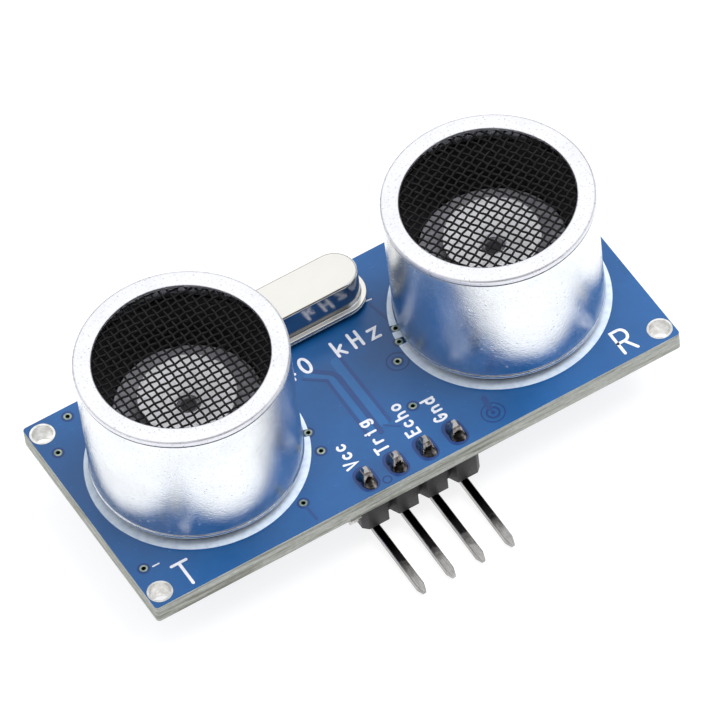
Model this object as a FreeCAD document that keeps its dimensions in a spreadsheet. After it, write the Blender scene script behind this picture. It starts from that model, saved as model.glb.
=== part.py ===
import FreeCAD, Part
import math
import os
import re

import Sketcher

# Ultrasonic distance sensor: a small circuit board with two round transducers standing on its
# front face, a quartz crystal between them and a right-angle pin header under its lower edge.
#
# Frame: the board lies face up. The origin is the centre of the four mounting holes on the board's
# back face. +X runs along the long side from the transmitter to the receiver, +Y runs to the edge
# beside the crystal, and +Z points out of the front. All lengths are in millimetres.

SIZES = {
    # circuit board
    "board_length": 45.0,
    "board_width": 20.0,
    "board_thickness": 1.6,
    "board_corner_radius": 0.3,
    "mounting_spacing_x": 42.9,
    "mounting_spacing_y": 17.5,
    "mounting_hole_radius": 0.8,
    # transducers, with heights above the board's front face
    "transducer_spacing": 26.1,
    "transducer_offset": 0.3,
    "can_radius": 8.0,
    "can_wall": 0.4,
    "can_foot": 0.65,
    "can_top": 12.2,
    "can_face": 0.35,
    "can_mouth_radius": 6.55,
    "can_edge_radius": 0.45,
    "can_lip_radius": 0.12,
    "fit_gap": 0.02,
    "mesh_wire": 0.16,
    "mesh_pitch": 0.6,
    "transmitter_mesh_turn": 0.0,
    "receiver_mesh_turn": 27.0,
    "cup_top": 9.6,
    "cup_mouth_radius": 7.15,
    "cup_throat_radius": 5.65,
    "cup_bore_radius": 5.0,
    "ring_top": 6.4,
    "ring_thickness": 0.9,
    "ring_bore_radius": 2.5,
    "cone_rim_radius": 3.65,
    "cone_rim": 7.7,
    "cone_knee_radius": 2.2,
    "cone_knee": 7.3,
    "cone_hub_radius": 1.0,
    "cone_hub_edge": 6.75,
    "cone_bottom": 6.35,
    "cone_wall": 0.15,
    "cone_stem_radius": 0.7,
    "plate_radius": 4.5,
    "plate_top": 4.4,
    "plate_thickness": 0.2,
    "piezo_radius": 3.2,
    "piezo_thickness": 0.4,
    "seat_radius": 2.9,
    "seat_bore_radius": 2.3,
    "base_top": 1.8,
    "terminal_radius": 0.35,
    "terminal_spacing": 10.0,
    "terminal_tail": 1.3,
    "lead_wire_radius": 0.09,
    # quartz crystal, with heights above the board's front face
    "crystal_x": -0.15,
    "crystal_y": 7.35,
    "crystal_length": 10.2,
    "crystal_width": 3.7,
    "crystal_top": 3.35,
    "crystal_wall": 0.25,
    "crystal_edge_radius": 0.22,
    "flange_length": 11.1,
    "flange_width": 4.6,
    "flange_bottom": 0.35,
    "flange_middle": 0.58,
    "flange_top": 0.8,
    "crystal_plinth": 1.05,
    "crystal_lead_radius": 0.22,
    "crystal_lead_spacing": 4.88,
    "crystal_lead_top": 1.5,
    "crystal_lead_tail": 1.1,
    "bead_radius": 0.6,
    "blank_length": 7.4,
    "blank_width": 1.7,
    "blank_thickness": 0.25,
    "spring_length": 1.3,
    "spring_width": 1.0,
    "spring_thickness": 0.12,
    # pin header, with heights above the board's back face
    "pin_pitch": 2.54,
    "header_x": 0.08,
    "header_y": -8.45,
    "housing_depth": 2.54,
    "housing_height": 2.54,
    "housing_chamfer": 0.4,
    "pin_width": 0.64,
    "pin_tip_width": 0.3,
    "pin_taper": 0.55,
    "pin_top": 2.95,
    "pin_arm": -3.8,
    "pin_reach": 7.45,
    "pin_droop": 0.25,
    "pin_inner_bend": 0.3,
    # solder joints
    "header_hole_radius": 0.5,
    "header_pad_half_width": 0.6,
    "header_pad_half_length": 1.05,
    "header_cone_height": 1.0,
    "header_cone_top_radius": 0.5,
    "terminal_hole_radius": 0.45,
    "terminal_pad_radius": 1.1,
    "terminal_cone_height": 1.0,
    "crystal_hole_radius": 0.35,
    "crystal_pad_radius": 0.8,
    "crystal_cone_height": 0.8,
    # chips, transistor, resistors and capacitors on the back, with depths below the back face
    "chip_width": 3.9,
    "chip_standoff": 0.15,
    "chip_depth": 1.6,
    "large_chip_length": 9.9,
    "small_chip_length": 8.65,
    "lead_pitch": 1.27,
    "lead_width": 0.42,
    "lead_span": 6.0,
    "lead_foot": 0.7,
    "lead_metal": 0.2,
    "lead_height": 0.85,
    "transistor_length": 2.9,
    "transistor_width": 1.3,
    "transistor_depth": 1.05,
    "transistor_span": 2.4,
    "transistor_pitch": 0.95,
    "transistor_x": 8.0,
    "transistor_y": 5.4,
    "chip_part_length": 1.6,
    "chip_part_width": 0.8,
    "resistor_depth": 0.45,
    "capacitor_depth": 0.8,
    "end_cap_length": 0.3,
}

PINS_IN_HEADER = 4
PIN_NAMES = ("supply", "trigger", "echo", "ground")

doc = FreeCAD.newDocument("ultrasonic_sensor")
sheet = doc.addObject("Spreadsheet::Sheet", "sizes")
for row, (alias, size) in enumerate(SIZES.items(), start=1):
    sheet.set(f"A{row}", alias.replace("_", " "))
    sheet.set(f"B{row}", str(size))
    sheet.setAlias(f"B{row}", alias)
doc.recompute()

parts = []


# Formulas: a formula is text such as "can_radius - can_wall", made of cells of the sheet.


def expand(formula):
    """The formula with every cell named in full, as an expression needs it."""
    return re.sub(r"[a-z_]{2,}", lambda word: named_cell(word.group()), str(formula))


def named_cell(word):
    return f"sizes.{word}" if word in SIZES else word


def value(formula):
    """The formula's value in millimetres or degrees."""
    return float(sheet.evalExpression(expand(formula)))


def bind(thing, prop, formula):
    thing.setExpression(prop, expand(formula))


def place(thing, x="0", y="0", z="0"):
    """Puts a sub-part at a place worked out from the sheet."""
    for axis, formula in (("x", x), ("y", y), ("z", z)):
        if value(formula):
            bind(thing, f".Placement.Base.{axis}", formula)


def finished(thing, label):
    """Names a sub-part and adds it to the list of pieces that are written."""
    thing.Label = label
    parts.append(thing)
    return thing


# Sketches and the features made from them


def new_body(label):
    return finished(doc.addObject("PartDesign::Body", label), label)


def origin_plane(body, role):
    return next(f for f in body.Origin.OriginFeatures if f.Role == role)


def new_sketch(body, plane, offset="0"):
    """A sketch on one of the body's origin planes, moved along the plane's normal by offset."""
    sketch = body.newObject("Sketcher::SketchObject", "outline")
    sketch.AttachmentSupport = [(origin_plane(body, plane), "")]
    sketch.MapMode = "FlatFace"
    if value(offset):
        bind(sketch, ".AttachmentOffset.Base.z", offset)
    return sketch


def fix_point(sketch, edge, end, x, y):
    """Holds one end of an edge, or a circle's centre, at a place bound to the sheet."""
    for kind, axis, formula in (("DistanceX", -2, x), ("DistanceY", -1, y)):
        if value(formula) == 0:
            sketch.addConstraint(Sketcher.Constraint("PointOnObject", edge, end, axis))
            continue
        distance = Sketcher.Constraint(kind, -1, 1, edge, end, value(formula))
        index = sketch.addConstraint(distance)
        bind(sketch, f"Constraints[{index}]", formula)


def draw_polygon(sketch, corners):
    """A closed outline of straight lines through corners, each an (x, y) pair of formulas."""
    points = [FreeCAD.Vector(value(x), value(y), 0) for x, y in corners]
    following = points[1:] + points[:1]
    lines = [Part.LineSegment(a, b) for a, b in zip(points, following)]
    first = sketch.GeometryCount
    sketch.addGeometry(lines, False)
    count = len(lines)
    for n in range(count):
        joined = first + (n + 1) % count
        sketch.addConstraint(Sketcher.Constraint("Coincident", first + n, 2, joined, 1))
    for n, (x, y) in enumerate(corners):
        fix_point(sketch, first + n, 1, x, y)


def draw_rectangle(sketch, width, height, x="0", y="0"):
    left, right = f"{x} - ({width}) / 2", f"{x} + ({width}) / 2"
    low, high = f"{y} - ({height}) / 2", f"{y} + ({height}) / 2"
    draw_polygon(sketch, [(left, low), (right, low), (right, high), (left, high)])


def draw_circle(sketch, radius, x="0", y="0"):
    centre = FreeCAD.Vector(value(x), value(y), 0)
    circle = Part.Circle(centre, FreeCAD.Vector(0, 0, 1), value(radius))
    edge = sketch.addGeometry(circle, False)
    index = sketch.addConstraint(Sketcher.Constraint("Radius", edge, value(radius)))
    bind(sketch, f"Constraints[{index}]", radius)
    fix_point(sketch, edge, 3, x, y)


def pad(body, sketch, length, downwards=False, midplane=False):
    feature = body.newObject("PartDesign::Pad", "pad")
    feature.Profile = sketch
    feature.Reversed = downwards
    feature.Midplane = midplane
    bind(feature, "Length", length)
    doc.recompute()
    return feature


def cut_through(body, sketch):
    """Cuts the sketch's outlines right through the body, both ways, and checks that they cut."""
    before = body.Shape.Volume
    feature = body.newObject("PartDesign::Pocket", "cut")
    feature.Profile = sketch
    feature.Type = "ThroughAll"
    feature.Midplane = True
    doc.recompute()
    if body.Shape.Volume > before - 1e-9:
        raise ValueError(f"{body.Label}: a cut removed nothing")
    return feature


def turned(label, corners):
    """A round piece: a half section of (radius, height) formulas turned about its own Z axis."""
    body = new_body(label)
    sketch = new_sketch(body, "XZ_Plane")
    draw_polygon(sketch, corners)
    feature = body.newObject("PartDesign::Revolution", "turned")
    feature.Profile = sketch
    feature.ReferenceAxis = (sketch, ["V_Axis"])
    feature.Angle = 360
    doc.recompute()
    return body


def round_edges(body, radius, chosen):
    """Rounds the edges of the body's last feature for which chosen(edge) is true."""
    last = body.Tip
    edges = [f"Edge{n}" for n, edge in enumerate(last.Shape.Edges, start=1) if chosen(edge)]
    if not edges:
        raise ValueError(f"{body.Label}: no edge to round")
    feature = body.newObject("PartDesign::Fillet", "rounded")
    feature.Base = (last, edges)
    bind(feature, "Radius", radius)
    doc.recompute()
    return feature


def is_circle_at(edge, radius, height):
    """True for a circle about Z of that radius and height."""
    if not isinstance(edge.Curve, Part.Circle):
        return False
    same_radius = abs(edge.Curve.Radius - value(radius)) < 1e-6
    return same_radius and abs(edge.Curve.Center.z - value(height)) < 1e-6


# Part primitives


def cylinder(radius, low, high, x="0", y="0"):
    made = doc.addObject("Part::Cylinder", "cylinder")
    bind(made, "Radius", radius)
    bind(made, "Height", f"({high}) - ({low})")
    place(made, x, y, low)
    return made


def cone(low_radius, high_radius, low, high, x="0", y="0"):
    made = doc.addObject("Part::Cone", "cone")
    bind(made, "Radius1", low_radius)
    bind(made, "Radius2", high_radius)
    bind(made, "Height", f"({high}) - ({low})")
    place(made, x, y, low)
    return made


def oval(half_length, half_width, height, x, y):
    """A flat ellipse at that height, its long axis along Y."""
    made = doc.addObject("Part::Ellipse", "oval")
    bind(made, "MajorRadius", half_length)
    bind(made, "MinorRadius", half_width)
    made.Placement.Rotation = FreeCAD.Rotation(FreeCAD.Vector(0, 0, 1), 90)
    place(made, x, y, height)
    return made


def lofted(*outlines):
    """The solid between outlines, with straight sides from each to the next."""
    made = doc.addObject("Part::Loft", "skirt")
    made.Sections = list(outlines)
    made.Solid = True
    made.Ruled = True
    return made


def box(length, width, low, high, x="0", y="0"):
    """A block centred on x and y that reaches from low to high."""
    made = doc.addObject("Part::Box", "block")
    bind(made, "Length", length)
    bind(made, "Width", width)
    bind(made, "Height", f"({high}) - ({low})")
    place(made, f"{x} - ({length}) / 2", f"{y} - ({width}) / 2", low)
    return made


def fused(*pieces):
    made = doc.addObject("Part::MultiFuse", "joined")
    made.Shapes = list(pieces)
    return made


def cut(whole, tool):
    made = doc.addObject("Part::Cut", "cut")
    made.Base = whole
    made.Tool = tool
    return made


def group(label, pieces):
    """Several identical separate solids in one node."""
    made = doc.addObject("Part::Compound", label)
    made.Links = list(pieces)
    return finished(made, label)


# Circuit board


def through_holes():
    """Every plated hole that a lead passes: (radius, x, y)."""
    holes = []
    for side in ("-1", "1"):
        for end in ("-1", "1"):
            x = f"{side} * transducer_spacing / 2 + {end} * terminal_spacing / 2"
            holes.append(("terminal_hole_radius", x, "transducer_offset"))
        x = f"crystal_x + {side} * crystal_lead_spacing / 2"
        holes.append(("crystal_hole_radius", x, "crystal_y"))
    for n in range(PINS_IN_HEADER):
        holes.append(("header_hole_radius", pin_place(n), "header_y"))
    return holes


def pin_place(n):
    """Where header pin n stands along X."""
    return f"header_x + ({n} - ({PINS_IN_HEADER} - 1) / 2) * pin_pitch"


def make_board():
    body = new_body("circuit_board")
    outline = new_sketch(body, "XY_Plane")
    draw_rectangle(outline, "board_length", "board_width")
    pad(body, outline, "board_thickness")

    def upright(edge):
        return abs(edge.tangentAt(edge.FirstParameter).z) > 0.99

    round_edges(body, "board_corner_radius", upright)
    holes = new_sketch(body, "XY_Plane")
    for side in ("-1", "1"):
        for end in ("-1", "1"):
            x, y = f"{side} * mounting_spacing_x / 2", f"{end} * mounting_spacing_y / 2"
            draw_circle(holes, "mounting_hole_radius", x, y)
    for radius, x, y in through_holes():
        draw_circle(holes, radius, x, y)
    cut_through(body, holes)


# Transducers: each piece is made about its own axis, standing on the board's front face


def make_can(name):
    """The drawn aluminium can, open below, with its front turned in round the mouth."""
    inside, under_face = "can_radius - can_wall", "can_top - can_face"
    body = turned(
        f"{name}_can",
        [
            (inside, "can_foot"),
            ("can_radius", "can_foot"),
            ("can_radius", "can_top"),
            ("can_mouth_radius", "can_top"),
            ("can_mouth_radius", under_face),
            (inside, under_face),
        ],
    )
    round_edges(body, "can_edge_radius", lambda e: is_circle_at(e, "can_radius", "can_top"))
    round_edges(
        body,
        "can_lip_radius",
        lambda e: is_circle_at(e, "can_radius", "can_foot")
        or is_circle_at(e, "can_mouth_radius", "can_top"),
    )
    return body


def make_mesh(name):
    """The wire mesh behind the mouth: a flat disc with a square opening between every four wires."""
    reach = value("can_radius - can_wall - fit_gap")
    pitch, wire = value("mesh_pitch"), value("mesh_wire")
    top, thickness = value("can_top - can_face"), 2 * wire
    low = FreeCAD.Vector(0, 0, top - thickness)
    outline = Part.Wire([Part.makeCircle(reach, low)])
    half = (pitch - wire) / 2
    rows = int(reach / pitch) + 1
    openings = []
    for column in range(-rows, rows + 1):
        for row in range(-rows, rows + 1):
            x, y = (column + 0.5) * pitch, (row + 0.5) * pitch
            if math.hypot(abs(x) + half, abs(y) + half) > reach - wire:
                continue
            signs = ((-1, -1), (-1, 1), (1, 1), (1, -1), (-1, -1))
            corners = [low + FreeCAD.Vector(x + a * half, y + b * half, 0) for a, b in signs]
            openings.append(Part.makePolygon(corners))
    face = Part.Face([outline, *openings])
    mesh = doc.addObject("Part::Feature", f"{name}_mesh")
    mesh.Shape = face.extrude(FreeCAD.Vector(0, 0, thickness))
    turn = FreeCAD.Rotation(FreeCAD.Vector(0, 0, 1), value(f"{name}_mesh_turn"))
    mesh.Placement = FreeCAD.Placement(FreeCAD.Vector(0, 0, 0), turn)
    return finished(mesh, f"{name}_mesh")


def make_cup(name):
    """The black moulded lining: a bore that holds the ring, and a flared wall above it."""
    outside, ledge = "can_radius - can_wall - fit_gap", "ring_top - ring_thickness"
    return turned(
        f"{name}_cup",
        [
            ("cup_bore_radius", "base_top"),
            (outside, "base_top"),
            (outside, "cup_top"),
            ("cup_mouth_radius", "cup_top"),
            ("cup_throat_radius", "ring_top"),
            ("cup_throat_radius", ledge),
            ("cup_bore_radius", ledge),
        ],
    )


def make_ring(name):
    """The soft grey ring that lies in the cup under the cone."""
    low = "ring_top - ring_thickness"
    return turned(
        f"{name}_damping_ring",
        [
            ("ring_bore_radius", low),
            ("cup_throat_radius - fit_gap", low),
            ("cup_throat_radius - fit_gap", "ring_top"),
            ("ring_bore_radius", "ring_top"),
        ],
    )


def make_cone(name):
    """The thin aluminium resonator: a flared dish round a sunk hub, on a stem from the plate."""
    return turned(
        f"{name}_resonator_cone",
        [
            ("0", "plate_top"),
            ("cone_stem_radius", "plate_top"),
            ("cone_stem_radius", "cone_bottom - cone_wall"),
            ("cone_hub_radius + cone_wall", "cone_bottom - cone_wall"),
            ("cone_knee_radius", "cone_knee - cone_wall"),
            ("cone_rim_radius", "cone_rim - cone_wall"),
            ("cone_rim_radius", "cone_rim"),
            ("cone_knee_radius", "cone_knee"),
            ("cone_hub_radius", "cone_hub_edge"),
            ("cone_hub_radius - 0.1", "cone_bottom"),
            ("0", "cone_bottom"),
        ],
    )


def make_vibrator(name):
    """The metal plate, the ceramic disc bonded under it and the soft seat that carries both."""
    plate_low = "plate_top - plate_thickness"
    piezo_low = f"{plate_low} - piezo_thickness"
    plate = cylinder("plate_radius", plate_low, "plate_top")
    piezo = cylinder("piezo_radius", piezo_low, plate_low)
    seat = turned(
        f"{name}_seat_ring",
        [
            ("seat_bore_radius", "base_top"),
            ("seat_radius", "base_top"),
            ("seat_radius", piezo_low),
            ("seat_bore_radius", piezo_low),
        ],
    )
    return [
        group(f"{name}_diaphragm_plate", [plate]),
        group(f"{name}_piezo_disc", [piezo]),
        seat,
    ]


def make_base(name):
    """The moulded base disc, with a hole for each terminal."""
    body = new_body(f"{name}_base_disc")
    outline = new_sketch(body, "XY_Plane")
    draw_circle(outline, "can_radius - can_wall - fit_gap")
    pad(body, outline, "base_top")
    holes = new_sketch(body, "XY_Plane")
    for side in ("-1", "1"):
        draw_circle(holes, "terminal_radius", f"{side} * terminal_spacing / 2")
    cut_through(body, holes)
    return body


def make_terminals(name):
    """Two round terminals that reach from the base through the board."""
    tail = "-board_thickness - terminal_tail"
    places = [f"{side} * terminal_spacing / 2" for side in ("-1", "1")]
    return group(
        f"{name}_terminals",
        [cylinder("terminal_radius", tail, "base_top", x) for x in places],
    )


def make_terminal_solder(name):
    """The solder that fills each terminal's hole and rises round its tail on the back."""
    joints = []
    for side in ("-1", "1"):
        x = f"{side} * terminal_spacing / 2"
        joints.append(
            back_joint(
                "terminal_pad_radius",
                "terminal_hole_radius",
                "terminal_radius",
                "terminal_cone_height",
                x,
                "0",
                "0",
            )
        )
    return group(f"{name}_solder", joints)


def back_joint(pad_radius, hole_radius, lead_radius, height, x, y, front):
    """One solder joint on the back, round a lead, where front is the front face's height."""
    back = f"{front} - board_thickness"
    tip = f"{back} - {height}"
    barrel = cylinder(hole_radius, back, front, x, y)
    skirt = cone(f"{lead_radius} + 0.12", pad_radius, tip, back, x, y)
    lead = cylinder(lead_radius, f"{tip} - 1", f"{front} + 1", x, y)
    return cut(fused(barrel, skirt), lead)


def bent_wire(points, radius):
    """A thin round wire along straight runs, its corners rounded by arcs between mid-points."""
    middles = [(a + b) * 0.5 for a, b in zip(points, points[1:])]
    edges = [Part.LineSegment(points[0], middles[0]).toShape()]
    for corner, before, after in zip(points[1:-1], middles, middles[1:]):
        curve = Part.BezierCurve()
        curve.setPoles([before, corner, after])
        edges.append(curve.toShape())
    edges.append(Part.LineSegment(middles[-1], points[-1]).toShape())
    path = Part.Wire(edges)
    start = Part.makeCircle(radius, points[0], points[1] - points[0])
    return path.makePipeShell([Part.Wire([start])], True, True)


def make_lead_wires(name):
    """Two fine wires, one from a terminal to the plate and one to the ceramic disc."""
    foot = value("base_top")
    edge_of_foot = value("cup_bore_radius") - 2 * value("lead_wire_radius")
    plate_under = value("plate_top - plate_thickness")
    piezo_under = plate_under - value("piezo_thickness")
    to_plate = (value("plate_radius + piezo_radius") / 2, plate_under)
    to_piezo = (-value("piezo_radius + seat_radius") / 2, piezo_under)
    wires = []
    for x, z in (to_plate, to_piezo):
        outer = math.copysign(edge_of_foot, x)
        knee = foot + (z - foot) * 0.45
        route = [
            FreeCAD.Vector(outer, 0, foot),
            FreeCAD.Vector(outer, 0, knee),
            FreeCAD.Vector(x, 0, knee),
            FreeCAD.Vector(x, 0, z),
        ]
        wires.append(bent_wire(route, value("lead_wire_radius")))
    made = doc.addObject("Part::Feature", f"{name}_lead_wires")
    made.Shape = Part.makeCompound(wires)
    return finished(made, f"{name}_lead_wires")


def make_transducer(name, side):
    pieces = [make_can(name), make_mesh(name), make_cup(name), make_ring(name)]
    pieces += [make_cone(name), *make_vibrator(name), make_base(name)]
    pieces += [make_terminals(name), make_terminal_solder(name), make_lead_wires(name)]
    for piece in pieces:
        place(piece, f"{side} * transducer_spacing / 2", "transducer_offset", "board_thickness")


# Quartz crystal, made about its own centre and standing on the board's front face


def draw_stadium(sketch, length, width):
    """A slot shape: two straight sides and two half-round ends."""
    to_centre, end_radius = f"(({length}) - ({width})) / 2", f"({width}) / 2"
    half, radius = value(to_centre), value(end_radius)
    quarter = math.pi / 2
    normal = FreeCAD.Vector(0, 0, 1)
    right = Part.Circle(FreeCAD.Vector(half, 0, 0), normal, radius)
    left = Part.Circle(FreeCAD.Vector(-half, 0, 0), normal, radius)
    upper = [FreeCAD.Vector(half, radius, 0), FreeCAD.Vector(-half, radius, 0)]
    lower = [FreeCAD.Vector(-half, -radius, 0), FreeCAD.Vector(half, -radius, 0)]
    first = sketch.GeometryCount
    sketch.addGeometry(
        [
            Part.ArcOfCircle(right, -quarter, quarter),
            Part.LineSegment(*upper),
            Part.ArcOfCircle(left, quarter, 3 * quarter),
            Part.LineSegment(*lower),
        ],
        False,
    )
    for n in range(4):
        following = first + (n + 1) % 4
        sketch.addConstraint(Sketcher.Constraint("Tangent", first + n, 2, following, 1))
    sketch.addConstraint(Sketcher.Constraint("Equal", first, first + 2))
    fix_point(sketch, first, 3, to_centre, "0")
    fix_point(sketch, first + 2, 3, f"-{to_centre}", "0")
    index = sketch.addConstraint(Sketcher.Constraint("Radius", first, radius))
    bind(sketch, f"Constraints[{index}]", end_radius)


def stadium_pad(body, length, width, low, high):
    outline = new_sketch(body, "XY_Plane", low)
    draw_stadium(outline, length, width)
    return pad(body, outline, f"{high} - ({low})")


def make_crystal_cap():
    """The drawn cap: a tall slot-shaped can with a flat foot all round."""
    body = new_body("crystal_cap")
    stadium_pad(body, "flange_length", "flange_width", "flange_middle", "flange_top")
    stadium_pad(body, "crystal_length", "crystal_width", "flange_top", "crystal_top")
    top = value("crystal_top")

    def top_edge(edge):
        return all(abs(v.Point.z - top) < 1e-6 for v in edge.Vertexes)

    round_edges(body, "crystal_edge_radius", top_edge)
    hollow = new_sketch(body, "XY_Plane", "flange_middle")
    inner_length = "crystal_length - 2 * crystal_wall"
    inner_width = "crystal_width - 2 * crystal_wall"
    draw_stadium(hollow, inner_length, inner_width)
    before = body.Shape.Volume
    feature = body.newObject("PartDesign::Pocket", "hollow")
    feature.Profile = hollow
    feature.Reversed = True
    bind(feature, "Length", "crystal_top - crystal_wall - flange_middle")
    doc.recompute()
    if body.Shape.Volume > before - 1:
        raise ValueError("the crystal's cap isn't hollow")
    return body


def make_crystal_base():
    """The base plate, with a plinth inside the cap and a hole for each glass bead."""
    body = new_body("crystal_base")
    stadium_pad(body, "flange_length", "flange_width", "flange_bottom", "flange_middle")
    plinth_length = "crystal_length - 2 * crystal_wall - fit_gap"
    plinth_width = "crystal_width - 2 * crystal_wall - fit_gap"
    stadium_pad(body, plinth_length, plinth_width, "flange_middle", "crystal_plinth")
    holes = new_sketch(body, "XY_Plane")
    for side in ("-1", "1"):
        draw_circle(holes, "bead_radius", f"{side} * crystal_lead_spacing / 2")
    cut_through(body, holes)
    return body


def make_crystal_inside():
    """Leads, their glass beads, the spring holders and the quartz blank."""
    places = [f"{side} * crystal_lead_spacing / 2" for side in ("-1", "1")]
    tail = "-board_thickness - crystal_lead_tail"
    leads = [cylinder("crystal_lead_radius", tail, "crystal_lead_top", x) for x in places]
    beads = [
        cut(
            cylinder("bead_radius", "flange_bottom", "crystal_plinth", x),
            cylinder("crystal_lead_radius", "flange_bottom - 1", "crystal_plinth + 1", x),
        )
        for x in places
    ]
    spring_top = "crystal_lead_top + spring_thickness"
    springs = [
        box("spring_length", "spring_width", "crystal_lead_top", spring_top, x) for x in places
    ]
    blank_top = f"{spring_top} + blank_thickness"
    blank = box("blank_length", "blank_width", spring_top, blank_top)
    joints = [
        back_joint(
            "crystal_pad_radius",
            "crystal_hole_radius",
            "crystal_lead_radius",
            "crystal_cone_height",
            x,
            "0",
            "0",
        )
        for x in places
    ]
    return [
        group("crystal_leads", leads),
        group("crystal_glass_beads", beads),
        group("crystal_springs", springs),
        group("crystal_quartz_blank", [blank]),
        group("crystal_solder", joints),
    ]


def make_crystal():
    for piece in [make_crystal_cap(), make_crystal_base(), *make_crystal_inside()]:
        place(piece, "crystal_x", "crystal_y", "board_thickness")


# Pin header: four bent square pins in one moulded housing


def make_housing():
    """Four chamfered blocks moulded in one, hanging under the board."""
    body = new_body("header_housing")
    outline = new_sketch(body, "XY_Plane")
    deep = "housing_depth / 2"
    waist = "housing_depth / 2 - housing_chamfer"
    start = f"-{PINS_IN_HEADER} * pin_pitch / 2"
    front = []
    for n in range(PINS_IN_HEADER):
        left, right = f"{start} + {n} * pin_pitch", f"{start} + {n + 1} * pin_pitch"
        front += [
            (left, f"-({waist})"),
            (f"{left} + housing_chamfer", f"-({deep})"),
            (f"{right} - housing_chamfer", f"-({deep})"),
        ]
    front.append((f"-({start})", f"-({waist})"))
    back = [(x, f"-({y})") for x, y in reversed(front)]
    draw_polygon(outline, front + back)
    pad(body, outline, "housing_height", downwards=True)
    holes = new_sketch(body, "XY_Plane")
    for n in range(PINS_IN_HEADER):
        x = f"{start} + ({n} + 0.5) * pin_pitch"
        draw_rectangle(holes, "pin_width", "pin_width", x)
    cut_through(body, holes)
    place(body, "header_x", "header_y")
    return body


def make_pin(n):
    """One square pin: up through the board, and bent at a right angle to point out along -Y."""
    body = new_body(f"header_pin_{PIN_NAMES[n]}")
    side = new_sketch(body, "YZ_Plane")
    half, tip = "pin_width / 2", "pin_tip_width / 2"
    end, neck = "-pin_reach", "-pin_reach + pin_taper"
    outer, inner = "pin_arm - pin_width / 2", "pin_arm + pin_width / 2"
    shoulder = "pin_top - pin_taper"
    draw_polygon(
        side,
        [
            (half, shoulder),
            (tip, "pin_top"),
            (f"-{tip}", "pin_top"),
            (f"-{half}", shoulder),
            (f"-{half}", inner),
            (neck, f"{inner} - pin_droop"),
            (end, "pin_arm + pin_tip_width / 2 - pin_droop"),
            (end, "pin_arm - pin_tip_width / 2 - pin_droop"),
            (neck, f"{outer} - pin_droop"),
            (half, outer),
        ],
    )
    pad(body, side, "pin_width", midplane=True)

    def bend_edge(y, z):
        def chosen(edge):
            middle = edge.CenterOfMass
            return abs(middle.y - value(y)) < 1e-4 and abs(middle.z - value(z)) < 1e-4

        return chosen

    round_edges(body, "pin_inner_bend", bend_edge(f"-{half}", inner))
    round_edges(body, "pin_inner_bend + pin_width", bend_edge(half, outer))
    for plane, root, point in (
        ("XZ_Plane", shoulder, "pin_top"),
        ("XY_Plane", neck, end),
    ):
        taper = new_sketch(body, plane)
        for sign in ("-1", "1"):
            beyond = f"{sign} * pin_width"
            draw_polygon(
                taper,
                [
                    (f"{sign} * {half}", root),
                    (f"{sign} * {tip}", point),
                    (beyond, point),
                    (beyond, root),
                ],
            )
        cut_through(body, taper)
    place(body, pin_place(n), "header_y")
    return body


def make_header_solder():
    """The solder joints of the header on the front: a full hole and an oval skirt round each pin."""
    joints = []
    for n in range(PINS_IN_HEADER):
        x, y = pin_place(n), "header_y"
        top = "board_thickness + header_cone_height"
        barrel = cylinder("header_hole_radius", "0", "board_thickness", x, y)
        foot = oval("header_pad_half_length", "header_pad_half_width", "board_thickness", x, y)
        neck = oval("header_cone_top_radius", "header_cone_top_radius", top, x, y)
        skirt = lofted(foot, neck)
        pin = box("pin_width", "pin_width", "-1", f"{top} + 1", x, y)
        joints.append(cut(fused(barrel, skirt), pin))
    return group("header_solder", joints)


# Parts on the back of the board


def make_chip(name, length, leads_per_side, x):
    """A small-outline chip under the board, its long side along Y."""
    body = new_body(f"{name}_body")
    middle = "-(chip_standoff + chip_depth) / 2"
    outline = new_sketch(body, "XY_Plane", middle)
    draw_rectangle(outline, "chip_width", length)
    pad(body, outline, "chip_depth - chip_standoff", midplane=True)
    place(body, x, "transducer_offset")
    make_chip_leads(name, leads_per_side, x)


def lead_outline():
    """A gull-wing lead in side view: out of the body, down to the board and out along it."""
    root, tip = "chip_width / 2", "lead_span / 2"
    knee = "lead_span / 2 - lead_foot"
    low, high = "-lead_height", "-(lead_height - lead_metal)"
    return [
        (root, low),
        (root, high),
        (f"{knee} - lead_metal", high),
        (knee, "0"),
        (tip, "0"),
        (tip, "-lead_metal"),
        (f"{knee} + lead_metal", "-lead_metal"),
        (knee, low),
    ]


def make_chip_leads(name, per_side, x):
    corners = [FreeCAD.Vector(value(a), 0, value(b)) for a, b in lead_outline()]
    face = Part.Face(Part.makePolygon(corners + corners[:1]))
    width = value("lead_width")
    leads = []
    for n in range(per_side):
        y = (n - (per_side - 1) / 2) * value("lead_pitch") - width / 2
        lead = face.extrude(FreeCAD.Vector(0, width, 0))
        lead.translate(FreeCAD.Vector(0, y, 0))
        leads += [lead, lead.mirror(FreeCAD.Vector(0, 0, 0), FreeCAD.Vector(1, 0, 0))]
    made = doc.addObject("Part::Feature", f"{name}_leads")
    made.Shape = Part.makeCompound(leads)
    finished(made, f"{name}_leads")
    place(made, x, "transducer_offset")


def make_transistor():
    """A three-lead transistor."""
    body = box("transistor_length", "transistor_width", "-transistor_depth", "-chip_standoff")
    finished(body, "transistor_body")
    reach = "(transistor_span - transistor_width) / 2"
    middle = "(transistor_span + transistor_width) / 4"
    leads = [
        box("lead_width", reach, "-lead_metal", "0", "-transistor_pitch", f"-({middle})"),
        box("lead_width", reach, "-lead_metal", "0", "transistor_pitch", f"-({middle})"),
        box("lead_width", reach, "-lead_metal", "0", "0", middle),
    ]
    made = group("transistor_leads", leads)
    place(made, "transistor_x", "transistor_y")
    body.setExpression(".Placement.Base.x", expand("transistor_x - transistor_length / 2"))
    body.setExpression(".Placement.Base.y", expand("transistor_y - transistor_width / 2"))


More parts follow.
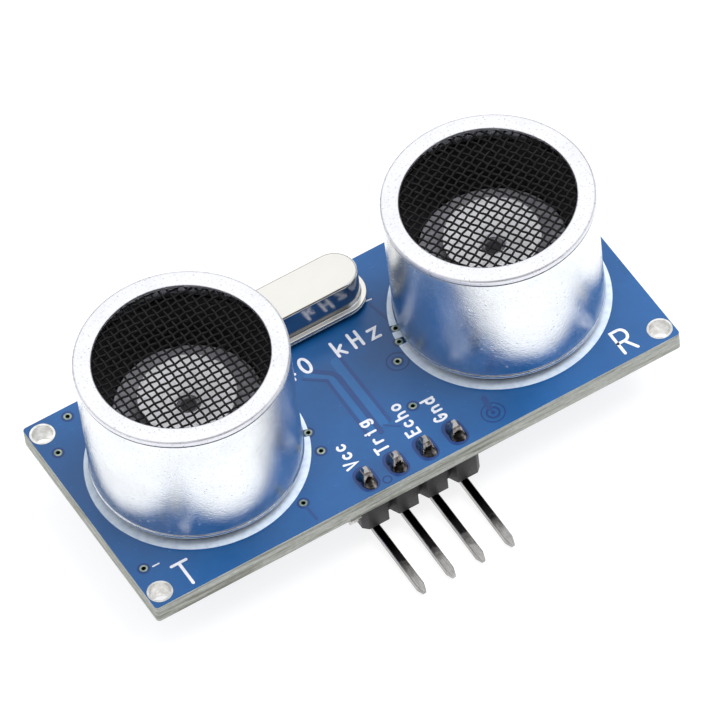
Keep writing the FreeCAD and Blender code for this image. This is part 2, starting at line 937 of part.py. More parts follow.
def make_chip_parts(kind, depth, places):
    """Resistors or capacitors: (x, y, along X or not), as bodies and as metal end caps."""
    bodies, caps = [], []
    middle = "chip_part_length - 2 * end_cap_length"
    to_cap = "(chip_part_length - end_cap_length) / 2"
    for x, y, along_x in places:
        low = f"-{depth}"
        if along_x:
            bodies.append(box(middle, "chip_part_width", low, "0", x, y))
            for sign in ("-", "+"):
                cap_x = f"{x} {sign} {to_cap}"
                caps.append(box("end_cap_length", "chip_part_width", low, "0", cap_x, y))
        else:
            bodies.append(box("chip_part_width", middle, low, "0", x, y))
            for sign in ("-", "+"):
                cap_y = f"{y} {sign} {to_cap}"
                caps.append(box("chip_part_width", "end_cap_length", low, "0", x, cap_y))
    group(f"{kind}_bodies", bodies)
    group(f"{kind}_end_caps", caps)


def make_back():
    far = "transducer_spacing / 2"
    make_chip("driver_chip", "large_chip_length", 8, f"-{far}")
    make_chip("amplifier_chip", "small_chip_length", 7, far)
    make_chip("controller_chip", "small_chip_length", 7, "0")
    make_transistor()
    columns = [(f"{side} * 5.1", f"{row} * 1.9", True) for side in (-1, 1) for row in range(-2, 3)]
    rows = [(f"{side} * {x}", "-7.7", True) for side in (-1, 1) for x in (9.5, 12.5)]
    make_chip_parts("resistor", "resistor_depth", columns + rows)
    high = [(f"{side} * {x}", "7.9", False) for side in (-1, 1) for x in (9.5, 12.5, 15.5)]
    low = [(f"{side} * 16", "-7.7", False) for side in (-1, 1)]
    edge = [("-5.75", "-9", False)]
    make_chip_parts("capacitor", "capacitor_depth", high + low + edge)


make_board()
make_transducer("transmitter", "-1")
make_transducer("receiver", "1")
make_crystal()
make_housing()
for pin in range(PINS_IN_HEADER):
    make_pin(pin)
make_header_solder()
make_back()
doc.recompute()

for thing in doc.Objects:
    if "Invalid" in thing.State or "Error" in thing.State:
        raise ValueError(f"{thing.Label} failed: {thing.State}")
for piece in parts:
    if piece.Shape.isNull() or not piece.Shape.isValid() or not piece.Shape.Solids:
        raise ValueError(f"{piece.Label} has no valid solid")

os.makedirs("parts", exist_ok=True)
for piece in parts:
    piece.Shape.exportStep(f"parts/{piece.Label}.step")
print(len(parts), "parts written")
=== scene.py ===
import math
import random

import bmesh
import bpy
from mathutils import Matrix, Vector


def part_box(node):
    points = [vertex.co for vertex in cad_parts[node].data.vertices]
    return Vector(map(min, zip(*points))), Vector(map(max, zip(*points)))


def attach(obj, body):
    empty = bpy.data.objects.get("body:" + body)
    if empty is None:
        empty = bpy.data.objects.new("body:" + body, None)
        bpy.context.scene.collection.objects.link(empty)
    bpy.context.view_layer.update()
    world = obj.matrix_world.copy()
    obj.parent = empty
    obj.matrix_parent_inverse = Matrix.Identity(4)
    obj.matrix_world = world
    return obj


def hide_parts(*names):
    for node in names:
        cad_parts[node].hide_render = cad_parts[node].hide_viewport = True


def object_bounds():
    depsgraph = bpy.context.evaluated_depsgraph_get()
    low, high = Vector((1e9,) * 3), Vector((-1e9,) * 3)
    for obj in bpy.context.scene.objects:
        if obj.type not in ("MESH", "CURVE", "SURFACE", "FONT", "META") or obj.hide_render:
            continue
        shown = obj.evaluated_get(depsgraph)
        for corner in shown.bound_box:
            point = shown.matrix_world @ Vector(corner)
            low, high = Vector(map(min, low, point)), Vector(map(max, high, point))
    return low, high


# The ultrasonic distance sensor around its CAD frame. Lengths are in millimetres until a mesh is
# made; a piece's vertices are in the row frame, and its object sits at the origin.

MM = 0.001
WELD = 1e-4
TURN = 2 * math.pi
SIDES = (-1, 1)
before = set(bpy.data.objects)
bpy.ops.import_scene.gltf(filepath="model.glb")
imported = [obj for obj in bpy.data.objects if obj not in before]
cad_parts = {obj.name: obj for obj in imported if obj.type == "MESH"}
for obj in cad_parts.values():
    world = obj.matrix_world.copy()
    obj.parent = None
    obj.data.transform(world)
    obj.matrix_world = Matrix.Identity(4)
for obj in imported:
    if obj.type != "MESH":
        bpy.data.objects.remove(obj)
cad_low, cad_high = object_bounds()
scene = bpy.context.scene


def span(node):
    """A CAD node's lowest and highest corner in millimetres."""
    low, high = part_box(node)
    return low / MM, high / MM


def middle_of(node):
    """The middle of a CAD node's box in millimetres."""
    return [(a + b) / 2 for a, b in zip(*span(node))]


board_low, board_high = span("circuit_board")
FRONT, BACK = board_high.z, board_low.z
HALF_LENGTH, HALF_WIDTH = board_high.x, board_high.y
can_low, can_high = span("transmitter_can")
CAN_RADIUS = (can_high.x - can_low.x) / 2
TRANSMITTER_X, TRANSDUCER_Y, _ = middle_of("transmitter_can")
CENTRES = {"transmitter": TRANSMITTER_X, "receiver": -TRANSMITTER_X}

# ---------------------------------------------------------------- sections and solids


def arc(centre, radius_x, radius_y, start, end, steps=8):
    """Points of an elliptical arc between two angles in degrees."""
    made = []
    for k in range(steps + 1):
        t = math.radians(start + (end - start) * k / steps)
        made.append((centre[0] + radius_x * math.cos(t), centre[1] + radius_y * math.sin(t)))
    return made


def circle(centre, radius, count, end=360):
    """Points of a whole circle, clockwise when end is -360."""
    return arc(centre, radius, radius, 0, end, count)[:-1]


def arc_corner(before, corner, after, radius, steps):
    """Points of the arc that rounds a corner, or the corner itself when it can't be rounded."""
    a, b = before - corner, after - corner
    if radius <= 0 or a.length < 1e-9 or b.length < 1e-9:
        return [corner]
    limit = 0.49 * min(a.length, b.length)
    a, b = a.normalized(), b.normalized()
    angle = a.angle(b)
    if angle > math.radians(178) or angle < math.radians(2):
        return [corner]
    reach = radius / math.tan(angle / 2)
    if reach > limit:
        radius *= limit / reach
        reach = limit
    middle = corner + (a + b).normalized() * (radius / math.sin(angle / 2))
    start, end = corner + a * reach - middle, corner + b * reach - middle
    spread = math.pi - angle
    points = []
    for n in range(steps + 1):
        t = n / steps
        points.append(
            middle
            + start * (math.sin((1 - t) * spread) / math.sin(spread))
            + end * (math.sin(t * spread) / math.sin(spread))
        )
    return points


def rounded(corners, closed=True, steps=5):
    """A section from corners (x, y[, radius]) or (x, y, z, radius), its corners rounded."""
    size = 3 if len(corners[0]) == 4 else 2
    points = [Vector(corner[:size]) for corner in corners]
    made = []
    for n, point in enumerate(points):
        if not closed and n in (0, len(points) - 1):
            made.append(point)
            continue
        radius = corners[n][size] if len(corners[n]) > size else 0
        made += arc_corner(points[n - 1], point, points[(n + 1) % len(points)], radius, steps)
    return made


def eased_rectangle(half_x, half_y, ease):
    """The eight corners of a rectangle whose corners are cut by ease, anticlockwise."""
    right = [
        (half_x - ease, -half_y),
        (half_x, -half_y + ease),
        (half_x, half_y - ease),
        (half_x - ease, half_y),
    ]
    return right + [(-x, -y) for x, y in right]


def tube_faces(stations, sides, closed=False):
    """Faces between sections of that many points, one after another, with flat ends unless closed."""
    faces = []
    for n in range(stations if closed else stations - 1):
        a, b = n * sides, (n + 1) % stations * sides
        faces += [[a + m, a + (m + 1) % sides, b + (m + 1) % sides, b + m] for m in range(sides)]
    if not closed:
        faces += [list(range(sides))[::-1], [(stations - 1) * sides + m for m in range(sides)]]
    return faces


class Shape:
    """Closed surfaces gathered in millimetres until they are made into one object."""

    def __init__(self):
        self.points = []
        self.faces = []
        self.kinds = []

    def add(self, points, faces, kind=0):
        """Adds a surface; kind says which of the object's finishes it takes."""
        first = len(self.points)
        self.points += [tuple(p) for p in points]
        self.faces += [[first + n for n in face] for face in faces]
        self.kinds += [kind] * len(faces)

    def make(self, name, finishes, slot, node=None, smooth=0):
        """The object: it rides on the root body and stands for the CAD node named."""
        mesh = bpy.data.meshes.new(name)
        mesh.from_pydata([Vector(p) * MM for p in self.points], [], self.faces)
        for finish in finishes if isinstance(finishes, list) else [finishes]:
            mesh.materials.append(finish)
        for polygon, kind in zip(mesh.polygons, self.kinds):
            polygon.material_index = kind
        work = bmesh.new()
        work.from_mesh(mesh)
        bmesh.ops.remove_doubles(work, verts=work.verts, dist=WELD * MM)
        bmesh.ops.recalc_face_normals(work, faces=work.faces)
        work.to_mesh(mesh)
        work.free()
        thing = bpy.data.objects.new(name, mesh)
        scene.collection.objects.link(thing)
        if smooth:
            mesh.shade_smooth()
            mesh.set_sharp_from_angle(angle=math.radians(smooth))
        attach(thing, "root")
        if node:
            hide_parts(node)
        return mesh

    def stand_in(self, node, finishes, slot, smooth=35):
        """The object that takes a CAD node's place and name."""
        return self.make(node, finishes, slot, node, smooth)


def turned(shape, profile, centre, segments, loop=True, stretch=0.0, bend=None):
    """A section of (radius, height) turned about Z, or run round a slot of length stretch."""
    half = segments // 2
    turns = segments + 2 if stretch else segments
    points, faces = [], []
    for k in range(turns):
        angle, shift = TURN * k / segments, 0.0
        if stretch:
            left, step = divmod(k, half + 1)
            angle = -math.pi / 2 + math.pi * (left + step / half)
            shift = stretch / 2 * (-1 if left else 1)
        for r, z in profile:
            if bend:
                r, z = bend(r, z, angle)
            points.append((centre[0] + shift + r * math.cos(angle), centre[1] + r * math.sin(angle), z))
    count = len(profile)
    for k in range(turns):
        a, b = k * count, (k + 1) % turns * count
        for n in range(count if loop else count - 1):
            m = (n + 1) % count
            faces.append([a + n, b + n, b + m, a + m])
    shape.add(points, faces)


def post(shape, centre, radius, low, high, eases, segments, steps):
    """A solid round post or disc, its lower and upper rims eased."""
    corners = [(0.0, low), (radius, low, eases[0]), (radius, high, eases[1]), (0.0, high)]
    turned(shape, rounded(corners, closed=False, steps=steps), centre, segments, loop=False)


def swept(shape, path, section, up, ends=1.0):
    """A section of (side, normal) offsets carried along a path, scaled by ends at both ends."""
    last = len(path) - 1
    points = []
    for n, place in enumerate(path):
        ahead = (path[min(n + 1, last)] - place).normalized()
        behind = (place - path[max(n - 1, 0)]).normalized()
        tangent = (ahead + behind).normalized()
        side = tangent.cross(up).normalized()
        normal = side.cross(tangent).normalized()
        grow = ends if n in (0, last) else 1.0
        points += [place + side * (a * grow) + normal * (b * grow) for a, b in section]
    shape.add(points, tube_faces(len(path), len(section)))


def ribbon(shape, line, width, low, high, closed=False, caps=4):
    """A flat stroke between two heights along (x, y) points, with round ends unless it closes."""
    path = [Vector((x, y, low)) for x, y in line]
    half = width / 2
    stations = [(point, half) for point in path]
    if not closed:
        turns = [k / caps * math.pi / 2 for k in range(caps)]
        for end, inner in ((0, 1), (-1, -2)):
            outward = (path[end] - path[inner]).normalized() * half
            cap = [(path[end] + outward * math.cos(t), max(half * math.sin(t), 0.01)) for t in turns]
            stations = stations + cap[::-1] if end else cap + stations
    total = len(stations)
    rise = Vector((0, 0, high - low))
    points = []
    for n, (point, reach) in enumerate(stations):
        before = stations[n - 1][0] if n or closed else point
        after = stations[(n + 1) % total][0] if n < total - 1 or closed else point
        ahead, behind = after - point, point - before
        ahead = ahead if ahead.length > 1e-9 else behind
        behind = behind if behind.length > 1e-9 else ahead
        both = ahead.normalized() + behind.normalized()
        tangent = (both if both.length > 1e-6 else ahead).normalized()
        mitre = 1 / max(0.5, both.length / 2)
        side = Vector((tangent.y, -tangent.x, 0)) * reach * mitre
        points += [point - side, point + side, point + side + rise, point - side + rise]
    shape.add(points, tube_faces(total, 4, closed))


def annulus(shape, centre, inner, outer, low, high, segments, start=0.0, sweep=TURN):
    """A flat ring or part of one, or a disc when inner is nothing."""
    if not inner:
        prism(shape, circle(centre, outer, segments), low, high)
        return
    whole = sweep > TURN - 1e-6
    count = segments if whole else segments + 1
    points = []
    for k in range(count):
        t = start + sweep * k / segments
        for r, z in ((inner, low), (outer, low), (outer, high), (inner, high)):
            points.append((centre[0] + r * math.cos(t), centre[1] + r * math.sin(t), z))
    shape.add(points, tube_faces(count, 4, whole))


def bevelled(shape, points, faces, ease, kind=0, sharp=25):
    """A solid whose edges turn by more than sharp degrees eased."""
    work = bmesh.new()
    corners = [work.verts.new(point) for point in points]
    for face in faces:
        work.faces.new([corners[k] for k in face])
    bmesh.ops.recalc_face_normals(work, faces=work.faces)
    work.normal_update()
    edges = [edge for edge in work.edges if edge.calc_face_angle(0) > math.radians(sharp)]
    bmesh.ops.bevel(
        work,
        geom=edges,
        offset=ease,
        offset_type="OFFSET",
        segments=2,
        profile=0.5,
        affect="EDGES",
        clamp_overlap=True,
    )
    work.verts.index_update()
    shape.add([v.co for v in work.verts], [[v.index for v in face.verts] for face in work.faces], kind)
    work.free()


def prism(shape, outline, low, high, ease=0.0, kind=0):
    """A solid of one outline between two heights, its edges eased when ease is given."""
    points = [(x, y, z) for z in (low, high) for x, y in outline]
    faces = tube_faces(2, len(outline))
    if ease:
        bevelled(shape, points, faces, ease, kind)
    else:
        shape.add(points, faces, kind)


def block(shape, low, high, ease=0.0, kind=0):
    """A box between any two opposite corners."""
    (x0, x1), (y0, y1), (z0, z1) = (sorted(pair) for pair in zip(low, high))
    prism(shape, [(x0, y0), (x1, y0), (x1, y1), (x0, y1)], z0, z1, ease, kind)


# ---------------------------------------------------------------- finishes


def tint(colour):
    """A screen colour from 0 to 255 as the linear colour a node wants."""
    parts = [part / 255 for part in colour]
    return [c / 12.92 if c <= 0.04045 else ((c + 0.055) / 1.055) ** 2.4 for c in parts]


def grey(level):
    return (level, level, level)


class Nodes:
    """A node tree and what this script adds to it."""

    def __init__(self, tree):
        self.tree = tree

    def node(self, kind, **settings):
        made = self.tree.nodes.new(kind)
        for key, value in settings.items():
            setattr(made, key, value)
        return made

    def link(self, start, end):
        self.tree.links.new(start, end)

    def ramp(self, source, *stops):
        """A colour ramp of (position, linear colour) stops."""
        made = self.node("ShaderNodeValToRGB")
        elements = made.color_ramp.elements
        while len(elements) < len(stops):
            elements.new(0.5)
        for element, (at, colour) in zip(elements, stops):
            element.position = at
            element.color = (*colour, 1.0)
        self.link(source, made.inputs["Fac"])
        return made.outputs["Color"]

    def level(self, source, low, high, start=0.3, end=0.7):
        """The source's range start to end carried to low to high."""
        made = self.node("ShaderNodeMapRange")
        for key, value in (("From Min", start), ("From Max", end), ("To Min", low), ("To Max", high)):
            made.inputs[key].default_value = value
        self.link(source, made.inputs["Value"])
        return made.outputs["Result"]

    def tinted(self, first, second):
        """One textured colour multiplied by another."""
        made = self.node("ShaderNodeMix", data_type="RGBA", blend_type="MULTIPLY")
        made.inputs["Factor"].default_value = 1.0
        self.link(first, made.inputs["A"])
        self.link(second, made.inputs["B"])
        return made.outputs["Result"]

    def times(self, first, second):
        """One number multiplied by another."""
        made = self.node("ShaderNodeMath", operation="MULTIPLY")
        self.link(first, made.inputs[0])
        self.link(second, made.inputs[1])
        return made.outputs[0]


class Finish(Nodes):
    """A procedural material: one Principled shader and the textures that feed it."""

    def __init__(self, name, **sockets):
        self.material = bpy.data.materials.new(name)
        self.material.use_nodes = True
        super().__init__(self.material.node_tree)
        self.tree.nodes.clear()
        self.shader = self.node("ShaderNodeBsdfPrincipled")
        output = self.node("ShaderNodeOutputMaterial")
        self.link(self.shader.outputs["BSDF"], output.inputs["Surface"])
        for key, value in sockets.items():
            self.shader.inputs[key.replace("_", " ")].default_value = value
        self.place = self.node("ShaderNodeTexCoord").outputs["Object"]
        self.normal = None

    def mapped(self, stretch=(1, 1, 1), shift=(0, 0, 0)):
        """Object coordinates in millimetres, stretched."""
        mapping = self.node("ShaderNodeMapping")
        mapping.inputs["Scale"].default_value = [s / MM for s in stretch]
        mapping.inputs["Location"].default_value = shift
        self.link(self.place, mapping.inputs["Vector"])
        return mapping.outputs["Vector"]

    def noise(self, size, detail=3.0, rough=0.55, stretch=(1, 1, 1), distortion=0.0, shift=(0, 0, 0)):
        """A noise whose features are about size millimetres across."""
        made = self.node("ShaderNodeTexNoise")
        values = (("Scale", 1 / size), ("Detail", detail), ("Roughness", rough), ("Distortion", distortion))
        for key, value in values:
            made.inputs[key].default_value = value
        self.link(self.mapped(stretch, shift), made.inputs["Vector"])
        return made.outputs["Fac"]

    def cells(self, size):
        """The distance to the middle of a cell about size millimetres across."""
        made = self.node("ShaderNodeTexVoronoi")
        made.inputs["Scale"].default_value = 1 / size
        self.link(self.mapped(), made.inputs["Vector"])
        return made.outputs["Distance"]

    def use(self, colour, rough):
        """Feeds the shader's colour and roughness."""
        self.link(colour, self.shader.inputs["Base Color"])
        self.link(rough, self.shader.inputs["Roughness"])

    def bump(self, source, depth):
        """Adds relief of that depth in millimetres."""
        made = self.node("ShaderNodeBump")
        made.inputs["Strength"].default_value = 1.0
        made.inputs["Distance"].default_value = depth * MM
        self.link(source, made.inputs["Height"])
        if self.normal:
            self.link(self.normal, made.inputs["Normal"])
        self.normal = made.outputs["Normal"]
        self.link(self.normal, self.shader.inputs["Normal"])


def mottled(name, dark, light, size, rough, relief=0.0, relief_size=None, **sockets):
    """A finish whose colour drifts from dark to light and whose roughness drifts over a range."""
    made = Finish(name, **sockets)
    grain = made.noise(relief_size or size / 3, shift=(7, 3, 5))
    colour = made.ramp(made.noise(size), (0.35, tint(dark)), (0.65, tint(light)))
    made.use(colour, made.level(grain, *rough))
    if relief:
        made.bump(grain, relief)
    return made.material


def make_mask(name, dark, light):
    """Glossy solder mask: slow changes of shade, and a faint weave from the glass cloth under it."""
    made = Finish(name, IOR=1.5)
    fine = made.noise(0.9, 4.0, 0.6)
    broad = made.ramp(made.noise(9.0, 2.0), (0.3, tint(dark)), (0.7, tint(light)))
    small = made.ramp(fine, (0.3, (0.88, 0.9, 0.92)), (0.7, grey(1)))
    made.use(made.tinted(broad, small), made.level(fine, 0.16, 0.28))
    made.bump(made.noise(0.45, 2.0), 0.003)
    made.bump(made.noise(4.0, 1.0), 0.008)
    return made.material


def make_laminate():
    """The cut edge of the board: pale glass and resin in uneven layers, with darker lines."""
    made = Finish("laminate_edge", IOR=1.5)
    layers = made.noise(0.3, 3.0, 0.6, stretch=(0.05, 0.05, 1.0), distortion=0.2)
    fine = made.noise(0.16, 4.0, 0.65, stretch=(0.4, 0.4, 1.0))
    shades = (
        (0.34, (134, 136, 126)),
        (0.45, (176, 179, 172)),
        (0.56, (203, 206, 202)),
        (0.68, (160, 163, 154)),
    )
    pale = made.ramp(layers, *[(at, tint(shade)) for at, shade in shades])
    speck = made.ramp(fine, (0.3, (0.7, 0.7, 0.67)), (0.62, grey(1)))
    made.use(made.tinted(pale, speck), made.level(fine, 0.55, 0.85, 0.0, 1.0))
    made.bump(layers, 0.03)
    made.bump(fine, 0.02)
    return made.material


def make_aluminium(name, shade, rough, pits, grain_depth=0.004, drift=0.95, marks=1.0, metallic=1.0):
    """Drawn aluminium: satin, with fine rings from drawing, cloudy patches, pits and small dark marks."""
    made = Finish(name, Metallic=metallic)
    cloud = made.noise(3.2, 4.0, 0.6)
    clean = made.ramp(cloud, (0.32, tint([drift * part for part in shade])), (0.62, tint(shade)))
    if marks < 1:
        scuffs = made.ramp(made.noise(0.2, 4.0, 0.75), (0.32, grey(marks)), (0.42, grey(1)))
        clean = made.tinted(clean, scuffs)
    rings = made.noise(0.16, 3.0, 0.6, stretch=(0.12, 0.12, 1.0))
    grain = made.noise(0.13, 3.0, 0.7)
    rubbed = made.level(cloud, rough * 0.75, rough * 1.25)
    made.use(clean, made.times(rubbed, made.level(grain, 0.85, 1.2, 0.0, 1.0)))
    made.bump(rings, 0.004)
    made.bump(grain, grain_depth)
    made.bump(made.ramp(made.cells(0.55), (0.0, grey(0)), (0.16, grey(1))), pits)
    return made.material


def make_solder(name, dark, light):
    """Shiny solder that set with slow ripples."""
    made = Finish(name, Metallic=1.0)
    cloud = made.noise(0.35, 4.0)
    made.use(made.ramp(cloud, (0.3, tint(dark)), (0.7, tint(light))), made.level(cloud, 0.06, 0.16))
    made.bump(made.noise(0.35, 2.0), 0.03)
    return made.material


def make_plastic(name, dark, light, rough, relief, size):
    """Moulded plastic with a fine even grain."""
    made = Finish(name, IOR=1.49)
    grain = made.noise(size, 3.0, 0.6)
    colour = made.ramp(made.noise(size * 6), (0.3, tint(dark)), (0.7, tint(light)))
    made.use(colour, made.level(grain, *rough))
    made.bump(grain, relief)
    return made.material


def make_wire():
    """Black-coated steel wire with worn, shiny high spots."""
    made = Finish("mesh_black_wire", Metallic=0.0, IOR=1.4)
    wear = made.noise(0.5, 4.0, 0.6)
    colour = made.ramp(wear, (0.45, tint((6, 6, 8))), (0.75, tint((20, 20, 23))))
    made.use(colour, made.level(wear, 0.7, 0.55))
    made.bump(made.noise(0.05, 2.0), 0.003)
    return made.material


def make_ink(name, thin, thick):
    """Screen-printed ink: matt white, a little uneven where it lies thin."""
    made = Finish(name, IOR=1.45)
    cloud = made.noise(0.5, 4.0, 0.6)
    colour = made.ramp(cloud, (0.3, tint(thin)), (0.6, tint(thick)))
    made.use(colour, made.level(cloud, 0.45, 0.65, 0.0, 1.0))
    made.bump(made.noise(0.09, 2.0), 0.006)
    return made.material


def make_epoxy():
    """Moulded chip epoxy: matt black with a fine pebble."""
    made = Finish("chip_epoxy", IOR=1.5)
    grain = made.noise(0.07, 3.0, 0.65)
    colour = made.ramp(made.noise(1.5), (0.3, tint((24, 24, 26))), (0.7, tint((38, 38, 40))))
    made.use(colour, made.level(grain, 0.5, 0.75))
    made.bump(grain, 0.015)
    return made.material


def make_pin_metal():
    """Bright tin on the pins, with drawing lines along them."""
    made = Finish("pin_metal", Metallic=1.0)
    lines = made.noise(0.05, 2.0, 0.6, stretch=(1, 0.06, 0.4))
    colour = made.ramp(made.noise(1.4, 4.0, 0.6), (0.3, tint((132, 130, 128))), (0.65, tint((184, 182, 180))))
    made.use(colour, made.level(lines, 0.08, 0.2))
    made.bump(lines, 0.003)
    made.bump(made.noise(0.6, 2.0), 0.012)
    return made.material


# Where the pins' painted dark reflection begins beside the plastic, and where the pins end.
DARK_REFLECTION_START_Y, PIN_TIP_Y = -9.6, -15.9


def make_pin_top():
    """The upper faces of the pins: painted dark reflection, nearly black by the plastic, bright tin at the
    tips.
    """
    made = Finish("pin_painted_dark_reflection", Metallic=1.0)
    apart = made.node("ShaderNodeSeparateXYZ")
    made.link(made.mapped(), apart.inputs["Vector"])
    along = made.level(apart.outputs["Y"], 0.0, 1.0, DARK_REFLECTION_START_Y, PIN_TIP_Y)
    uneven = made.times(along, made.level(made.noise(0.5, 4.0, 0.6), 0.9, 1.1))
    # Painted dark reflection: nearly black beside the plastic, turning to bright tin towards the tips.
    shades = (
        (0.0, (20, 18, 18)),
        (0.52, (30, 28, 28)),
        (0.66, (112, 110, 109)),
        (0.8, (160, 159, 158)),
        (1.0, (174, 173, 171)),
    )
    painted_reflection_colour = made.ramp(uneven, *[(at, tint(shade)) for at, shade in shades])
    lines = made.noise(0.06, 2.0, 0.6, stretch=(1, 0.05, 0.4))
    streaks = made.ramp(lines, (0.35, grey(0.7)), (0.6, grey(1)))
    made.use(made.tinted(painted_reflection_colour, streaks), made.level(lines, 0.16, 0.3))
    made.bump(lines, 0.004)
    return made.material


mask = make_mask("mask_blue", (17, 78, 134), (25, 91, 154))
mask_gap = make_mask("mask_over_gap", (12, 50, 108), (16, 60, 124))
mask_line = make_mask("mask_over_track_edge", (26, 64, 120), (34, 75, 137))
mask_track = make_mask("mask_over_track", (28, 92, 150), (36, 104, 168))
laminate = make_laminate()
ink = make_ink("silkscreen_white", (216, 218, 227), (236, 238, 246))
ring_ink = make_ink("silkscreen_ring", (204, 217, 240), (223, 237, 252))
solder = make_solder("solder", (140, 137, 134), (210, 208, 206))
header_joint = make_solder("solder_header", (60, 52, 50), (168, 163, 160))
wire = make_wire()
epoxy = make_epoxy()
pin_metal = make_pin_metal()
pin_top = make_pin_top()

aluminium = make_aluminium("can_aluminium", (240, 244, 249), 0.18, 0.018, 0.017, marks=0.75)
face_aluminium = make_aluminium("can_face_aluminium", (243, 244, 250), 0.34, 0.016, 0.012, marks=0.5)
rim_aluminium = make_aluminium("can_rim_aluminium", (243, 244, 250), 0.5, 0.01, 0.008, marks=0.5)
cone_metal = make_aluminium("cone_aluminium", (248, 248, 252), 0.5, 0.006, marks=0.7, metallic=0.35)
crystal_metal = make_aluminium("crystal_steel", (226, 225, 220), 0.12, 0.002, 0.001, drift=0.985)
# A darker copy of the crystal's steel for the cap's sides: painted dark reflection.
crystal_painted_dark_side = make_aluminium("crystal_steel_painted_dark_side", (178, 178, 182), 0.1, 0.004, 0.002, drift=0.9)

black_moulding = make_plastic("black_moulding", (7, 7, 9), (14, 14, 16), (0.35, 0.5), 0.006, 0.1)
header_plastic = make_plastic("header_plastic", (20, 20, 22), (36, 36, 39), (0.35, 0.55), 0.012, 0.12)
resistor_body = make_plastic("resistor_black", (14, 14, 16), (26, 26, 30), (0.2, 0.4), 0.004, 0.08)

tinned = mottled("tinned_pad", (206, 205, 200), (244, 243, 240), 0.6, (0.3, 0.5), 0.01, 0.2, Metallic=1.0)
via_metal = mottled("via_ring", (104, 128, 118), (168, 180, 164), 0.3, (0.25, 0.5), 0.01, 0.1, Metallic=0.7)
# Near-black for the via bores: painted shade.
bore_painted_shade = mottled("via_bore_painted_shade", (8, 12, 14), (22, 28, 30), 0.2, (0.5, 0.8))
# Dark metal in the groove under the can's face: painted shade.
groove_painted_shade = mottled("can_groove_painted_shade", (44, 46, 56), (120, 122, 132), 0.9, (0.4, 0.6), Metallic=0.8)
# Painted shadow in the cone's hub: a dark finish for the middle and a fainter one round it.
hub_painted_shadow = mottled("hub_painted_shadow", (22, 22, 26), (48, 48, 54), 0.7, (0.4, 0.6), 0.02, 0.2)
faint_hub_painted_shadow = mottled("hub_painted_shadow_faint", (58, 58, 64), (130, 130, 136), 0.5, (0.45, 0.65), 0.01, 0.2)
grey_ring = mottled("grey_silicone", (140, 140, 147), (172, 172, 179), 0.8, (0.55, 0.75), 0.02, 0.12)
brass = mottled("plate_brass", (176, 140, 72), (214, 182, 110), 1.0, (0.25, 0.45), 0.004, 0.2, Metallic=1.0)
ceramic = mottled("piezo_ceramic", (196, 188, 170), (224, 218, 204), 0.7, (0.4, 0.6), 0.006, 0.15)
copper = mottled("wire_copper", (170, 96, 60), (214, 138, 96), 0.4, (0.25, 0.45), 0.004, 0.1, Metallic=1.0)
lead_tin = mottled(
    "tinned_lead", (168, 167, 165), (222, 221, 219), 0.4, (0.2, 0.4), 0.008, 0.15, Metallic=1.0
)
bead = mottled("bead_glass", (50, 70, 66), (90, 110, 104), 0.3, (0.1, 0.2))
quartz = mottled("quartz", (216, 220, 224), (238, 240, 243), 1.0, (0.05, 0.15), Transmission_Weight=0.7)
mark_paint = mottled("pin_one_mark", (120, 122, 126), (160, 162, 166), 0.3, (0.5, 0.7))
resistor_base = mottled("resistor_alumina", (206, 204, 198), (232, 230, 224), 0.3, (0.5, 0.7))
capacitor_body = mottled("capacitor_tan", (142, 108, 76), (176, 138, 100), 0.35, (0.35, 0.55), 0.008, 0.08)

# ---------------------------------------------------------------- circuit board

MOUNT_X, MOUNT_Y, MOUNT_HOLE = 21.45, 8.75, 0.8
TERMINAL_REACH, CRYSTAL_LEAD_REACH = 5.0, 2.44
VIA_HOLE, VIA_PAD = 0.17, 0.31
CORNER, EDGE, EDGE_BAND = 0.3, 0.03, 0.12
HEADER_Y = -8.45
CRYSTAL_X, CRYSTAL_Y, _ = middle_of("crystal_base")
PIN_NODES = [f"header_pin_{use}" for use in ("supply", "trigger", "echo", "ground")]
PIN_X = [middle_of(node)[0] for node in PIN_NODES]

VIAS = [
    (-19.08, 9.12),
    (-21.33, 6.57),
    (-21.40, -6.27),
    (-5.08, -2.32),
    (-5.16, -4.32),
    (-8.69, -7.72),
    (3.80, -0.34),
    (2.58, -4.56),
    (5.28, 2.43),
    (4.85, 1.19),
    (19.4, 8.9),
    (21.3, 4.1),
]
RINGED_VIA = VIAS[6]
TARGET_VIA, SMALL_VIA = (7.17, -8.45), (-2.47, -9.35)
MOUNTS = [(a * MOUNT_X, b * MOUNT_Y) for a in SIDES for b in SIDES]
TERMINALS = [(x + side * TERMINAL_REACH, TRANSDUCER_Y) for x in CENTRES.values() for side in SIDES]
CRYSTAL_LEADS = [(CRYSTAL_X + side * CRYSTAL_LEAD_REACH, CRYSTAL_Y) for side in SIDES]
HOLES = [(x, y, MOUNT_HOLE) for x, y in MOUNTS]
HOLES += [(x, y, 0.45) for x, y in TERMINALS]
HOLES += [(x, y, 0.35) for x, y in CRYSTAL_LEADS]
HOLES += [(x, HEADER_Y, 0.5) for x in PIN_X]
HOLES += [(x, y, VIA_HOLE) for x, y in VIAS]


